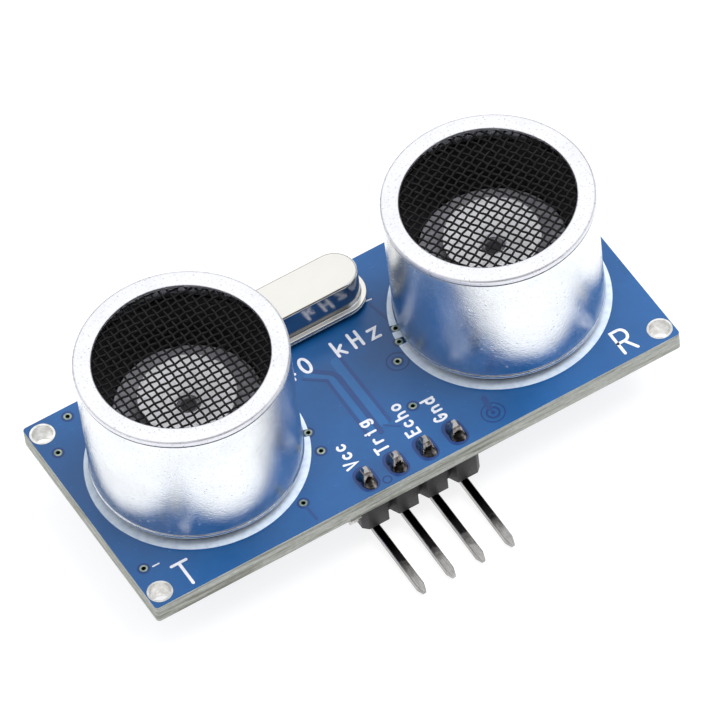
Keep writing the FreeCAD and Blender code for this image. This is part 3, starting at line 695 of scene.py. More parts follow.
def plate_with_holes(outline, holes, low, high, ease):
    """A flat plate with round holes (x, y, radius) and eased edges, as a shape."""
    curve = bpy.data.curves.new("plate_outline", "CURVE")
    curve.dimensions = "2D"
    curve.fill_mode = "BOTH"
    curve.extrude = (high - low) / 2 - ease
    curve.bevel_depth = ease
    curve.bevel_resolution = 1
    curve.offset = -ease
    bores = [circle((x, y), radius, 40 if radius > 0.6 else 20, -360) for x, y, radius in holes]
    for loop in [outline] + bores:
        spline = curve.splines.new("POLY")
        spline.points.add(len(loop) - 1)
        for point, (x, y) in zip(spline.points, loop):
            point.co = (x, y, 0, 1)
        spline.use_cyclic_u = True
    thing = bpy.data.objects.new("plate_outline", curve)
    scene.collection.objects.link(thing)
    bpy.context.view_layer.update()
    mesh = bpy.data.meshes.new_from_object(thing.evaluated_get(bpy.context.evaluated_depsgraph_get()))
    shape = Shape()
    lift = (low + high) / 2
    points = [(v.co.x, v.co.y, v.co.z + lift) for v in mesh.vertices]
    shape.add(points, [list(polygon.vertices) for polygon in mesh.polygons])
    bpy.data.objects.remove(thing)
    bpy.data.curves.remove(curve)
    bpy.data.meshes.remove(mesh)
    return shape


def make_board():
    """The laminate with its holes: mask on the faces, bare edges, plated bores, and via bores painted dark as
    shade.
    """
    corners = [(-1, -1), (1, -1), (1, 1), (-1, 1)]
    outline = rounded([(a * HALF_LENGTH, b * HALF_WIDTH, CORNER) for a, b in corners])
    shape = plate_with_holes(outline, HOLES, BACK, FRONT, EDGE)
    mesh = shape.make("board", [mask, laminate, tinned, bore_painted_shade], "board_laminate", "circuit_board")
    for polygon in mesh.polygons:
        middle = polygon.center / MM
        if abs(polygon.normal.z) > 0.8:
            continue
        if max(abs(middle.x) - HALF_LENGTH, abs(middle.y) - HALF_WIDTH) > -EDGE_BAND:
            polygon.material_index = 1
        elif any(math.hypot(middle.x - x, middle.y - y) < VIA_HOLE + 0.05 for x, y in VIAS):
            # Via bores take the near-black finish: painted shade.
            polygon.material_index = 3
        else:
            polygon.material_index = 2


# Copper under and over the mask on both faces. Heights are above the board's own face.
THIN, SUNK = 0.012, 0.01
GAP_LEVEL, TRACK_LEVEL, PAD_LEVEL, INK_LEVEL = 0.5, 0.9, 1.4, 1.6


def face_heights(front, level):
    """Heights of a layer on the front or on the back, level steps above the mask."""
    if front:
        return FRONT - SUNK, FRONT + THIN * level
    return BACK - THIN * level, BACK + SUNK


def back_tracks():
    """Tracks under the mask on the back: each leaves a pad, turns by half a right angle and ends."""
    made = []
    for n, x in enumerate(PIN_X):
        end = -3.35 + 2.2 * n if n < 2 else 3.35 - 2.2 * (3 - n)
        level = -4.6 - 0.35 * abs(n - 1.5)
        made.append([(x, HEADER_Y + 1.0), (x, level - abs(end - x)), (end, level), (end, level + 0.4)])
    for side in SIDES:
        for row in range(-2, 3):
            y = row * 1.9
            made.append([(side * 4.0, y), (side * 3.6, y), (side * 3.2, y + 0.3 * (1 if row < 0 else -1))])
            made.append([(side * 6.3, y), (side * 6.9, y), (side * 7.3, y + 0.4), (side * 7.3, y + 0.9)])
        for row in range(-3, 4):
            x, y = side * 16.5, row * 1.27
            reach = 1.1 + 0.35 * abs(row)
            made.append([(x, y), (x + side * reach, y), (x + side * (reach + 0.5), y + 0.5)])
        for x in (9.5, 12.5, 15.5):
            made.append([(side * x, 6.8), (side * x, 6.3), (side * (x - 0.5), 5.8)])
        for x in (9.5, 12.5):
            made.append([(side * (x + 1.1), -7.7), (side * (x + 1.5), -7.3), (side * (x + 1.5), -6.3)])
        lead = CRYSTAL_X + side * CRYSTAL_LEAD_REACH
        made.append([(lead, CRYSTAL_Y - 0.9), (lead, 5.6), (lead - side * 1.2, 4.4)])
    return made


TRACK_EDGES = [
    (0.26, [(-2.85, 2.2), (-1.45, 1.1), (-1.55, -5.1)]),
    (0.42, [(-2.2, 2.7), (-0.8, 1.45), (-0.56, 0.95), (-0.56, -5.3)]),
    (0.3, [(0.45, 2.4), (0.5, -4.7)]),
    (0.14, [(-0.1, -4.87), (0.85, -5.65)]),
    (0.45, [(7.17, -8.0), (7.3, -6.9)]),
    (0.22, [(-8.69, -8.1), (-8.6, -9.5)]),
    (0.22, [(4.9, 5.5), (5.3, 3.2)]),
]
TRACKS = [(0.5, [(-2.45, 2.3), (-1.1, 1.2), (-1.05, -4.9)]), (0.8, [(-0.02, 2.2), (-0.02, -4.6)])]


def upright(x, reach):
    """A short line through a header pin's hole, along Y."""
    return [(x, HEADER_Y + reach), (x, HEADER_Y - reach)]


def make_copper():
    """Gaps round the pads, track edges and tracks seen through the mask, via rings and pads."""
    gaps, lines, tracks, vias, pads = Shape(), Shape(), Shape(), Shape(), Shape()
    for front in (True, False):
        low, high = face_heights(front, GAP_LEVEL)
        rings = [(place, VIA_PAD, 0.5, 32) for place in VIAS]
        rings += [(TARGET_VIA, inner, outer, 40) for inner, outer in ((0.0, 0.16), (0.4, 0.56), (0.84, 0.94))]
        rings.append((SMALL_VIA, 0.26, 0.38, 40))
        if front:
            rings.append((RINGED_VIA, 0.78, 0.9, 40))
        for place, inner, outer, segments in rings:
            annulus(gaps, place, inner, outer, low, high, segments)
        if front:
            for x in PIN_X:
                ribbon(gaps, upright(x, 0.42), 1.66, low, high, caps=10)
        low, high = face_heights(front, PAD_LEVEL)
        for place in VIAS:
            annulus(vias, place, VIA_HOLE, VIA_PAD, low, high, 32)
        for place in MOUNTS:
            annulus(pads, place, MOUNT_HOLE, 0.97, low, high, 64)
        for x in PIN_X:
            ribbon(pads, upright(x, 0.4), 1.08, low, high, caps=10)
        if not front:
            for place in TERMINALS:
                annulus(pads, place, 0.4, 1.15, low, high, 48)
            for place in CRYSTAL_LEADS:
                annulus(pads, place, 0.3, 0.85, low, high, 48)
    low, high = face_heights(True, TRACK_LEVEL)
    for n, (width, line) in enumerate(TRACK_EDGES):
        ribbon(lines, line, width, low, high + 0.0007 * n)
    for width, line in TRACKS:
        ribbon(tracks, line, width, low, high - 0.004)
    low, high = face_heights(False, TRACK_LEVEL)
    for n, line in enumerate(back_tracks()):
        ribbon(lines, line, 0.2, low - 0.0006 * (n % 7), high)
    gaps.make("mask_gaps", mask_gap, "board_laminate")
    lines.make("mask_track_edges", mask_line, "board_laminate")
    tracks.make("mask_tracks", mask_track, "board_laminate")
    vias.make("via_rings", via_metal, "board_laminate")
    pads.make("tinned_pads", tinned, "solder")


make_board()
make_copper()

# ---------------------------------------------------------------- lettering

# Each letter's strokes on a grid 0.6 wide and 1 high, its baseline at 0.
ARCH = arc((0.3, 0.36), 0.24, 0.26, 180, 0) + [(0.54, 0.0)]
GLYPHS = {
    "c": [arc((0.3, 0.32), 0.27, 0.3, 45, 315)],
    "r": [[(0.08, 0.0), (0.08, 0.62)], arc((0.34, 0.34), 0.26, 0.28, 165, 50)],
    "i": [[(0.3, 0.0), (0.3, 0.62), (0.16, 0.62)], [(0.3, 0.84), (0.3, 0.86)]],
    "g": [
        arc((0.3, 0.34), 0.24, 0.28, 0, 360, 14),
        [(0.54, 0.62), (0.54, -0.08)] + arc((0.3, -0.08), 0.24, 0.16, 0, -150, 6),
    ],
    "h": [[(0.06, 0.0), (0.06, 1.0)], ARCH],
    "o": [arc((0.3, 0.32), 0.26, 0.3, 0, 360, 16)],
    "n": [[(0.06, 0.0), (0.06, 0.62)], ARCH],
    "d": [arc((0.3, 0.32), 0.24, 0.3, 0, 360, 16), [(0.54, 0.0), (0.54, 1.0)]],
    "k": [[(0.06, 0.0), (0.06, 1.0)], [(0.5, 0.62), (0.06, 0.24)], [(0.22, 0.38), (0.54, 0.0)]],
    "z": [[(0.06, 0.62), (0.54, 0.62), (0.06, 0.0), (0.54, 0.0)]],
    "T": [[(0.0, 1.0), (0.6, 1.0)], [(0.3, 1.0), (0.3, 0.0)]],
    "R": [
        [(0.04, 0.0), (0.04, 1.0), (0.34, 1.0)] + arc((0.34, 0.74), 0.22, 0.26, 90, -90) + [(0.04, 0.48)],
        [(0.3, 0.48), (0.58, 0.0)],
    ],
    "V": [[(0.02, 1.0), (0.3, 0.0), (0.58, 1.0)]],
    "E": [[(0.56, 1.0), (0.06, 1.0), (0.06, 0.0), (0.56, 0.0)], [(0.06, 0.52), (0.46, 0.52)]],
    "G": [arc((0.3, 0.5), 0.26, 0.5, 50, 345, 14) + [(0.56, 0.44), (0.34, 0.44)]],
    "H": [[(0.06, 0.0), (0.06, 1.0)], [(0.54, 0.0), (0.54, 1.0)], [(0.06, 0.5), (0.54, 0.5)]],
    "U": [[(0.05, 1.0), (0.05, 0.28)] + arc((0.3, 0.28), 0.25, 0.28, 180, 360) + [(0.55, 1.0)]],
    "C": [arc((0.32, 0.5), 0.27, 0.5, 50, 310, 14)],
    "0": [arc((0.3, 0.5), 0.26, 0.5, 0, 360, 20)],
    "1": [[(0.14, 0.8), (0.32, 1.0), (0.32, 0.0)]],
    "2": [arc((0.3, 0.74), 0.25, 0.26, 170, -40) + [(0.05, 0.0), (0.56, 0.0)]],
    "3": [arc((0.28, 0.76), 0.24, 0.24, 150, -90), arc((0.28, 0.26), 0.27, 0.26, 90, -150)],
    "4": [[(0.42, 0.0), (0.42, 1.0), (0.02, 0.32), (0.6, 0.32)]],
}
RIGHT, LEFT, UP = (1, 0), (-1, 0), (0, 1)
RING_IN, RING_OUT = 7.3, 8.42
RING_GAP, CUT_RADIUS, CUT_NEAR = 0.34, 8.0, 0.75


def write(shape, text, start, along, up, height, advance, width, front=True):
    """A text from start: its baseline runs along one direction and its letters stand towards up."""
    start, along, up = Vector(start), Vector(along), Vector(up)
    strokes = [(n, stroke) for n, letter in enumerate(text) for stroke in GLYPHS.get(letter, [])]
    for number, (n, stroke) in enumerate(strokes):
        line = [start + along * (advance * n + x * height * 0.95) + up * (y * height) for x, y in stroke]
        closed = len(line) > 4 and (line[0] - line[-1]).length < 1e-6
        low, high = face_heights(front, INK_LEVEL)
        step = 0.0008 * (number % 4)
        low, high = (low, high + step) if front else (low - step, high)
        ribbon(shape, line[:-1] if closed else line, width, low, high, closed)


def make_rings():
    """The silkscreen rings round the cans, which stop short at the vias that cut them."""
    low, high = face_heights(True, INK_LEVEL)
    half = RING_GAP / RING_OUT
    rings = Shape()
    for centre in CENTRES.values():
        place = (centre, TRANSDUCER_Y)
        near = [via for via in VIAS if abs(math.dist(via, place) - CUT_RADIUS) < CUT_NEAR]
        cuts = sorted(math.atan2(y - TRANSDUCER_Y, x - centre) % TURN for x, y in near)
        for cut, following in zip(cuts, cuts[1:] + [cuts[0] + TURN]):
            sweep = following - cut - 2 * half
            steps = max(6, int(sweep / math.radians(2.5)))
            annulus(rings, place, RING_IN, RING_OUT, low, high, steps, cut + half, sweep)
    rings.make("silkscreen_rings", ring_ink, "board_laminate")


def make_silkscreen():
    """The letters on the front: a generic set that says what each pin and each can is for."""
    shape = Shape()
    write(shape, "T", (-19.64, -9.45), RIGHT, UP, 2.15, 1.4, 0.24)
    write(shape, "R", (18.05, -9.27), RIGHT, UP, 2.17, 1.4, 0.24)
    labels = (("Vcc", -3.5, -7.0), ("Trig", -0.88, -7.03), ("Echo", 1.8, -6.98), ("Gnd", 4.17, -6.96))
    for text, x, y in labels:
        write(shape, text, (x, y), UP, LEFT, 0.97, 0.9, 0.2)
    write(shape, "40 kHz", (-3.95, 2.5), RIGHT, UP, 1.42, 1.45, 0.24)
    for line in ([(-20.75, -6.5), (-20.25, -6.5)], [(4.75, 5.9), (5.2, 5.84)]):
        ribbon(shape, line, 0.12, *face_heights(True, INK_LEVEL))
    shape.make("silkscreen_front", ink, "board_laminate")


def make_back_silkscreen():
    """Outlines and part references on the back, to be read from behind."""
    shape = Shape()
    low, high = face_heights(False, INK_LEVEL)

    def name_part(text, x, y, height, advance, width):
        write(shape, text, (x, y), LEFT, UP, height, advance, width, front=False)

    for x, y, _ in RESISTORS:
        for side in SIDES:
            ribbon(shape, [(x - 0.32, y + side * 0.62), (x + 0.32, y + side * 0.62)], 0.12, low, high)
    for x, y, _ in CAPACITORS:
        for side in SIDES:
            ribbon(shape, [(x + side * 0.62, y - 0.32), (x + side * 0.62, y + 0.32)], 0.12, low, high)
    for number, chip in enumerate(("controller_chip", "driver_chip", "amplifier_chip"), start=1):
        chip_low, chip_high = span(f"{chip}_body")
        x = (chip_low.x + chip_high.x) / 2
        for y in (chip_low.y - 0.32, chip_high.y + 0.32):
            ribbon(shape, [(x - 1.9, y), (x + 1.9, y)], 0.14, low, high)
        name_part(f"U{number}", x + 0.75, chip_low.y - 1.55, 0.95, 0.85, 0.14)
    for number, (x, y, _) in enumerate(RESISTORS, start=1):
        if y < -7:
            name_part(f"R{number % 4 + 1}", x + 0.7, y - 1.75, 0.8, 0.72, 0.12)
    for number, (x, y, _) in enumerate(CAPACITORS, start=1):
        if y > 0:
            name_part(f"C{number % 3 + 1}", x + 0.62, y + 1.22, 0.62, 0.56, 0.1)
    for place in TERMINALS:
        annulus(shape, place, 1.32, 1.46, low, high, 48)
    ribbon(shape, [(PIN_X[0] - 1.35, HEADER_Y + 1.5), (PIN_X[-1] + 1.35, HEADER_Y + 1.5)], 0.14, low, high)
    shape.make("silkscreen_back", ink, "board_laminate")


make_rings()
make_silkscreen()

# ---------------------------------------------------------------- transducers

CAN_TOP, CAN_FOOT = can_high.z, can_low.z
WALL, MOUTH = 0.4, 6.55
FACE_BAND, LIP_TOP, GROOVE_LOW, GROOVE_HIGH = -0.47, -0.06, -0.645, -0.525
MESH_TURN = {"transmitter": 0.0, "receiver": 27.0}
MESH_PITCH, MESH_WIRE = 0.6, 0.165
mesh_low, mesh_high = span("transmitter_mesh")


def make_can(name, centre):
    """The can: a rolled foot, a drawn wall, a groove under the face and a rounded, turned-in lip."""
    r, inside = CAN_RADIUS, CAN_RADIUS - WALL
    corners = [
        (inside, CAN_FOOT, 0.1),
        (r, CAN_FOOT, 0.16),
        (r, CAN_FOOT + 0.32, 0.16),
        (r - 0.07, CAN_FOOT + 0.42, 0.08),
        (r - 0.05, CAN_TOP - 0.65, 0.04),
        (r - 0.17, CAN_TOP - 0.58, 0.02),
        (r - 0.03, CAN_TOP - 0.52, 0.04),
        (r, CAN_TOP, 0.42),
        (MOUTH, CAN_TOP - 0.02, 0.16),
        (MOUTH, CAN_TOP - 0.33, 0.1),
        (inside, CAN_TOP - 0.35, 0.1),
    ]
    shape = Shape()
    turned(shape, rounded(corners, steps=7), (centre, TRANSDUCER_Y), 256)
    finishes = [aluminium, face_aluminium, groove_painted_shade, rim_aluminium]
    mesh = shape.stand_in(f"{name}_can", finishes, "can_aluminium")
    for polygon in mesh.polygons:
        middle = polygon.center / MM
        height = middle.z - CAN_TOP
        apart = math.hypot(middle.x - centre, middle.y - TRANSDUCER_Y)
        if FACE_BAND < height < LIP_TOP and apart > MOUTH + 0.2:
            polygon.material_index = 3
        elif height > FACE_BAND:
            polygon.material_index = 1
        elif GROOVE_LOW < height < GROOVE_HIGH:
            # The groove takes the dark metal: painted shade.
            polygon.material_index = 2


def make_mesh(name, centre):
    """The woven mesh: every wire runs over and under the ones that cross it."""
    shape = Shape()
    reach = CAN_RADIUS - WALL - 0.06
    turn = math.radians(MESH_TURN[name])
    c, d = math.cos(turn), math.sin(turn)
    level = (mesh_low.z + mesh_high.z) / 2
    rows = int(reach / MESH_PITCH)
    section = circle((0, 0), MESH_WIRE / 2, 7)
    for across in (False, True):
        for row in range(-rows, rows + 1):
            offset = row * MESH_PITCH
            half = math.sqrt(max(0.0, reach * reach - offset * offset)) - 0.02
            if half < MESH_PITCH:
                continue
            steps = int(2 * half / (MESH_PITCH / 5))
            path = []
            for k in range(steps + 1):
                s = -half + 2 * half * k / steps
                lift = 0.3 * MESH_WIRE * math.cos(math.pi * (s / MESH_PITCH + row + across))
                drift = 0.018 * math.sin(s * 1.3 + row * 2.1) + 0.012 * math.sin(s * 3.1 + row)
                x, y = (offset + drift, s) if across else (s, offset + drift)
                path.append(Vector((centre + x * c - y * d, TRANSDUCER_Y + x * d + y * c, level + lift)))
            swept(shape, path, section, Vector((0, 0, 1)))
    shape.stand_in(f"{name}_mesh", wire, "mesh_wire", 60)


# Heights above the board's face, and radii, of what is stacked inside a can.
CUP_FOOT, CUP_TOP, DAMPER_FOOT, DAMPER_TOP = 1.8, 9.6, 5.5, 6.4
CUP_RADIUS = CAN_RADIUS - WALL - 0.03
CONE_RIM, CONE_FLOOR, CONE_RADIUS, CONE_WALL, CONE_FOOT = 7.7, 6.35, 3.65, 0.13, 4.4
HUB, HUB_LIP = 1.0, 0.36
DISCS = [
    ("diaphragm_plate", brass, "plate_brass", 4.5, 4.2, 4.4, 0.06),
    ("piezo_disc", ceramic, "piezo_ceramic", 3.2, 3.8, 4.2, 0.04),
    ("base_disc", black_moulding, "black_moulding", CUP_RADIUS, 0.0, 1.8, 0.18),
]


def make_cup(name, place):
    """The black lining of a can, which flares from its throat to the mesh."""
    base, throat, top = FRONT + CUP_FOOT, FRONT + DAMPER_FOOT, FRONT + CUP_TOP
    corners = [
        (5.0, base, 0.05),
        (CUP_RADIUS, base, 0.1),
        (CUP_RADIUS, top, 0.08),
        (7.15, top, 0.12),
        (6.95, top - 0.5, 0.2),
        (5.72, FRONT + DAMPER_TOP + 0.25, 0.3),
        (5.65, throat, 0.03),
        (5.0, throat, 0.03),
    ]
    cup = Shape()
    turned(cup, rounded(corners, steps=4), place, 128)
    cup.stand_in(f"{name}_cup", black_moulding, "black_moulding")


def make_soft_rings(name, place):
    """The damping ring round the cone and the seat ring under the ceramic disc."""
    low, high = FRONT + DAMPER_FOOT, FRONT + DAMPER_TOP
    corners = [(2.5, low, 0.05), (5.62, low, 0.05), (5.62, high, 0.14), (2.5, high - 0.03, 0.2)]
    damper, seat = Shape(), Shape()
    turned(damper, rounded(corners, steps=4), place, 128)
    damper.stand_in(f"{name}_damping_ring", grey_ring, "grey_silicone")
    low, high = FRONT + 1.8, FRONT + 3.8
    corners = [(r, z, 0.1) for r, z in ((2.3, low), (2.9, low), (2.9, high), (2.3, high))]
    turned(seat, rounded(corners, steps=3), place, 96)
    seat.stand_in(f"{name}_seat_ring", grey_ring, "grey_silicone")


def make_cone(name, place):
    """The thin resonator cone, flared like a horn, with painted shadow in its hub and a stem under it."""
    rim, floor, foot = FRONT + CONE_RIM, FRONT + CONE_FLOOR, FRONT + CONE_FOOT
    flare = []
    for k in range(15):
        t = k / 14
        height = HUB_LIP + (rim - floor - HUB_LIP) * (1 - (1 - t) ** 1.9)
        flare.append((HUB + (CONE_RADIUS - HUB) * t, floor + height))
    profile = [(0.0, floor + 0.06), (0.4, floor + 0.05), (0.62, floor)]
    profile += [(HUB - 0.18, floor), (HUB - 0.1, floor + 0.06)] + flare
    profile += [(CONE_RADIUS + 0.01, rim - 0.05), (CONE_RADIUS - 0.02, rim - CONE_WALL)]
    profile += [(r + 0.04, z - CONE_WALL) for r, z in reversed(flare[:-1])]
    profile += [(HUB + 0.02, floor + 0.05), (0.9, floor - CONE_WALL), (0.7, floor - CONE_WALL - 0.05)]
    profile += [(0.7, foot), (0.0, foot)]
    cone = Shape()
    turned(cone, profile, place, 128, loop=False)
    finishes = [cone_metal, hub_painted_shadow, faint_hub_painted_shadow]
    mesh = cone.make(f"{name}_cone", finishes, "cone_aluminium", f"{name}_resonator_cone", 35)
    for polygon in mesh.polygons:
        middle = polygon.center / MM
        apart = math.dist(middle[:2], place)
        if apart < HUB - 0.1 and middle.z > floor - 0.02:
            # The hub is painted with shadow: darkest in the middle, fainter round it.
            polygon.material_index = 1 if apart < 0.58 else 2


def make_discs(name, place):
    """The plate, the ceramic disc and the base that closes the can."""
    for part, finish, slot, radius, low, high, ease in DISCS:
        disc = Shape()
        post(disc, place, radius, FRONT + low, FRONT + high, (ease, ease), 96, 3)
        disc.stand_in(f"{name}_{part}", finish, slot)


def solder_cone(shape, centre, pad, lead, height, seed):
    """A solder joint under the board: a concave cone that climbs a lead, uneven round it."""
    wave = random.Random(seed)
    phases = [wave.uniform(0, TURN) for _ in range(4)]

    def uneven(r, z, angle):
        share = (r - lead) / (pad - lead)
        ripple = 0.05 * math.sin(2 * angle + phases[0]) + 0.03 * math.sin(3 * angle + phases[1])
        ripple += 0.02 * math.sin(5 * angle + phases[2])
        swell = math.sin(math.pi * max(0.0, min(1.0, share)))
        lift = 1 + 0.12 * math.sin(angle + phases[3]) if share < 0.9 else 1
        return r + ripple * pad * swell, BACK + (z - BACK) * lift

    profile = [(0.0, BACK + 0.01), (pad * 0.99, BACK + 0.01)]
    for k in range(11):
        t = k / 10
        profile.append((lead + (pad - lead) * (1 - t) ** 1.7, BACK - height * (0.03 + 0.97 * t**1.05)))
    profile += [(lead * 0.5, BACK - height * 1.04), (0.0, BACK - height * 1.05)]
    turned(shape, profile, centre, 40, loop=False, bend=uneven)


def make_terminals(name, centre):
    """The two round terminals of a transducer and their joints."""
    low, high = span(f"{name}_terminals")
    pins, joints = Shape(), Shape()
    for n, side in enumerate(SIDES):
        place = (centre + side * TERMINAL_REACH, TRANSDUCER_Y)
        post(pins, place, 0.35, low.z, high.z, (0.12, 0.05), 32, 4)
        solder_cone(joints, place, 1.08, 0.37, 1.0, seed=int(place[0] * 7) + n)
    pins.stand_in(f"{name}_terminals", lead_tin, "tinned_metal", 40)
    joints.stand_in(f"{name}_solder", solder, "solder", 60)


for transducer, middle_x in CENTRES.items():
    make_can(transducer, middle_x)
    make_mesh(transducer, middle_x)
    for build in (make_cup, make_soft_rings, make_cone, make_discs):
        build(transducer, (middle_x, TRANSDUCER_Y))
    make_terminals(transducer, middle_x)

# ---------------------------------------------------------------- quartz crystal

cap_low, cap_high = span("crystal_cap")
FLANGE = (cap_high.y - cap_low.y) / 2
CAP_STRETCH = (cap_high.x - cap_low.x) - 2 * FLANGE
CAP_BODY, CAP_TOP = 1.85, cap_high.z
CAP_FOOT, FLANGE_TOP = FRONT + 0.58, FRONT + 0.8


def slotted(shape, corners, steps):
    """A section from corners, turned round the crystal's slot-shaped outline."""
    section = rounded(corners, closed=False, steps=steps)
    turned(shape, section, (CRYSTAL_X, CRYSTAL_Y), 72, loop=False, stretch=CAP_STRETCH)


def make_crystal():
    """The drawn cap with its rolled edge and welded flange, and the base plate under it."""
    cap, base = Shape(), Shape()
    corners = [
        (0.0, CAP_FOOT + 0.25),
        (CAP_BODY - 0.3, CAP_FOOT + 0.25),
        (CAP_BODY - 0.3, CAP_FOOT),
        (FLANGE - 0.02, CAP_FOOT + 0.01, 0.04),
        (FLANGE, FLANGE_TOP, 0.07),
        (CAP_BODY + 0.08, FLANGE_TOP - 0.01, 0.04),
        (CAP_BODY, FLANGE_TOP + 0.07, 0.05),
        (CAP_BODY - 0.02, CAP_TOP, 0.3),
        (1.3, CAP_TOP),
        (0.0, CAP_TOP),
    ]
    slotted(cap, corners, 6)
    mesh = cap.stand_in("crystal_cap", [crystal_metal, crystal_painted_dark_side], "crystal_metal")
    for polygon in mesh.polygons:
        if FLANGE_TOP + 0.05 < polygon.center.z / MM < CAP_TOP - 0.2:
            # The cap's sides take the darker steel, a painted dark reflection.
            polygon.material_index = 1
    foot = FRONT + 0.35
    corners = [
        (0.0, foot),
        (FLANGE - 0.03, foot, 0.05),
        (FLANGE - 0.02, CAP_FOOT - 0.09, 0.04),
        (FLANGE - 0.16, CAP_FOOT - 0.05, 0.02),
        (FLANGE - 0.16, CAP_FOOT - 0.02),
        (0.0, CAP_FOOT - 0.02),
    ]
    slotted(base, corners, 4)
    base.stand_in("crystal_base", crystal_metal, "crystal_metal")


def make_crystal_leads():
    """The crystal's two wires through the board and their joints."""
    pins, joints = Shape(), Shape()
    low, high = span("crystal_leads")
    for n, place in enumerate(CRYSTAL_LEADS):
        post(pins, place, 0.22, low.z, high.z, (0.06, 0.04), 24, 3)
        solder_cone(joints, place, 0.79, 0.25, 0.8, seed=40 + n)
    pins.stand_in("crystal_leads", lead_tin, "tinned_metal", 40)
    joints.stand_in("crystal_solder", solder, "solder", 60)


make_crystal()
make_crystal_leads()

# ---------------------------------------------------------------- pin header

PITCH, PIN = 2.54, 0.64
CHAMFER = 0.42
NOTCH_IN, NOTCH_DEEP = 0.06, 0.35
PIN_DROOP, PIN_BEND, PIN_TAPER = 0.25, 0.62, 0.46
housing_low, housing_high = span("header_housing")


def make_housing():
    """Four chamfered blocks moulded in one, with a V between neighbours."""
    middle_x, middle_y, _ = middle_of("header_housing")
    edge = (housing_low.y - housing_high.y) / 2
    front = []
    for n in range(4):
        left = middle_x + (n - 2) * PITCH
        right = left + PITCH
        notched_left, notched_right = n > 0, n < 3
        front += [
            (left + NOTCH_IN * notched_left, edge + CHAMFER + NOTCH_DEEP * notched_left),
            (left + CHAMFER, edge),
            (right - CHAMFER, edge),
            (right - NOTCH_IN * notched_right, edge + CHAMFER + NOTCH_DEEP * notched_right),
        ]
    outline = front + [(x, -y) for x, y in reversed(front)]
    shape = Shape()
    prism(shape, [(x, y + middle_y) for x, y in outline], housing_low.z, housing_high.z - 0.02, 0.05)
    shape.stand_in("header_housing", header_plastic, "header_plastic")


def make_pins():
    """Square pins bent at a right angle, with eased edges and tapered ends."""
    section = eased_rectangle(PIN / 2, PIN / 2, 0.05)
    for node, x in zip(PIN_NODES, PIN_X):
        low, high = span(node)
        arm = low.z + PIN / 2 + 0.02
        corners = [(x, HEADER_Y, high.z, 0), (x, HEADER_Y, arm + PIN_DROOP, PIN_BEND), (x, low.y, arm, 0)]
        path = rounded(corners, closed=False, steps=10)
        top, tip = path[0], path[-1]
        below_top = top + (path[1] - top).normalized() * 0.5
        before_tip = tip + (path[-2] - tip).normalized() * 0.62
        shape = Shape()
        line = [top, below_top] + path[1:-1] + [before_tip, tip]
        swept(shape, line, section, Vector((1, 0, 0)), PIN_TAPER)
        mesh = shape.stand_in(node, [pin_metal, pin_top], "pin_metal", 30)
        for polygon in mesh.polygons:
            if polygon.normal.z > 0.75 and polygon.center.z / MM < BACK - 1.0:
                # Upward faces of the pins' arms take the painted dark reflection.
                polygon.material_index = 1


def drawn_solder(shape, x, seed):
    """Solder drawn up a square pin on the front, in uneven faces, and down the hole's barrel."""
    wave = random.Random(seed)
    height = 1.0 + wave.uniform(-0.06, 0.1)
    shift = wave.uniform(-0.05, 0.05)
    phase = wave.uniform(0, 6.28)
    foot, neck = 0.53, 0.35

    def faceted(r, z, angle):
        """An oval foot that turns into the square of the pin, leaving ridges up its corners."""
        if z < FRONT:
            return r, z
        share = min(1.0, (z - FRONT) / height)
        square = max(abs(math.cos(angle)), abs(math.sin(angle)))
        corner = 1 + share**0.8 * (0.9 / square - 1)
        oval = 1 + (1 - share) ** 1.3 * abs(math.sin(angle)) ** 1.6
        ripple = 1 + 0.07 * math.sin(3 * angle + phase) * (1 - share)
        return r * corner * oval * ripple, z

    profile = [(0.0, BACK + 0.02), (0.48, BACK + 0.02), (0.48, FRONT - 0.005), (foot, FRONT)]
    for k in range(12):
        t = k / 11
        profile.append((neck + (foot - neck) * (1 - t) ** 1.3, FRONT + 0.03 + (height - 0.03) * t))
    profile += [(0.2, FRONT + height + 0.03), (0.0, FRONT + height + 0.04)]
    turned(shape, profile, (x + shift, HEADER_Y), 48, loop=False, bend=faceted)


def make_header_solder():
    """The four joints that show on the front."""
    shape = Shape()
    for n, x in enumerate(PIN_X):
        drawn_solder(shape, x, seed=11 + n)
    shape.stand_in("header_solder", header_joint, "solder", 60)


make_housing()
make_pins()
make_header_solder()

# ---------------------------------------------------------------- parts on the back

LEAD_METAL, LEAD_PITCH = 0.2, 1.27
CHIP_LENGTH, CHIP_WIDTH, CAP_END = 1.6, 0.8, 0.3

# Where the small parts sit: (x, y, whether the part lies along X).
RESISTORS = [(side * 5.1, row * 1.9, True) for side in SIDES for row in range(-2, 3)]
RESISTORS += [(side * x, -7.7, True) for side in SIDES for x in (9.5, 12.5)]
CAPACITORS = [(side * x, 7.9, False) for side in SIDES for x in (9.5, 12.5, 15.5)]
CAPACITORS += [(side * 16, -7.7, False) for side in SIDES] + [(-5.75, -9.0, False)]
SMALL_PARTS = [
    ("resistor", RESISTORS, [resistor_body, resistor_base], "resistor_black", 0.45, True),
    ("capacitor", CAPACITORS, capacitor_body, "capacitor_tan", 0.8, False),
]


def placed(x, y, along_x=True):
    """What carries a part's own (along, across) to its place on the board."""
    if along_x:
        return lambda a, b: (x + a, y + b)
    return lambda a, b: (x - b, y + a)


def lay_pad(pads, first, second):
    """A tinned pad on the back between two opposite corners."""
    block(pads, (*first, BACK - 0.018), (*second, BACK + SUNK))


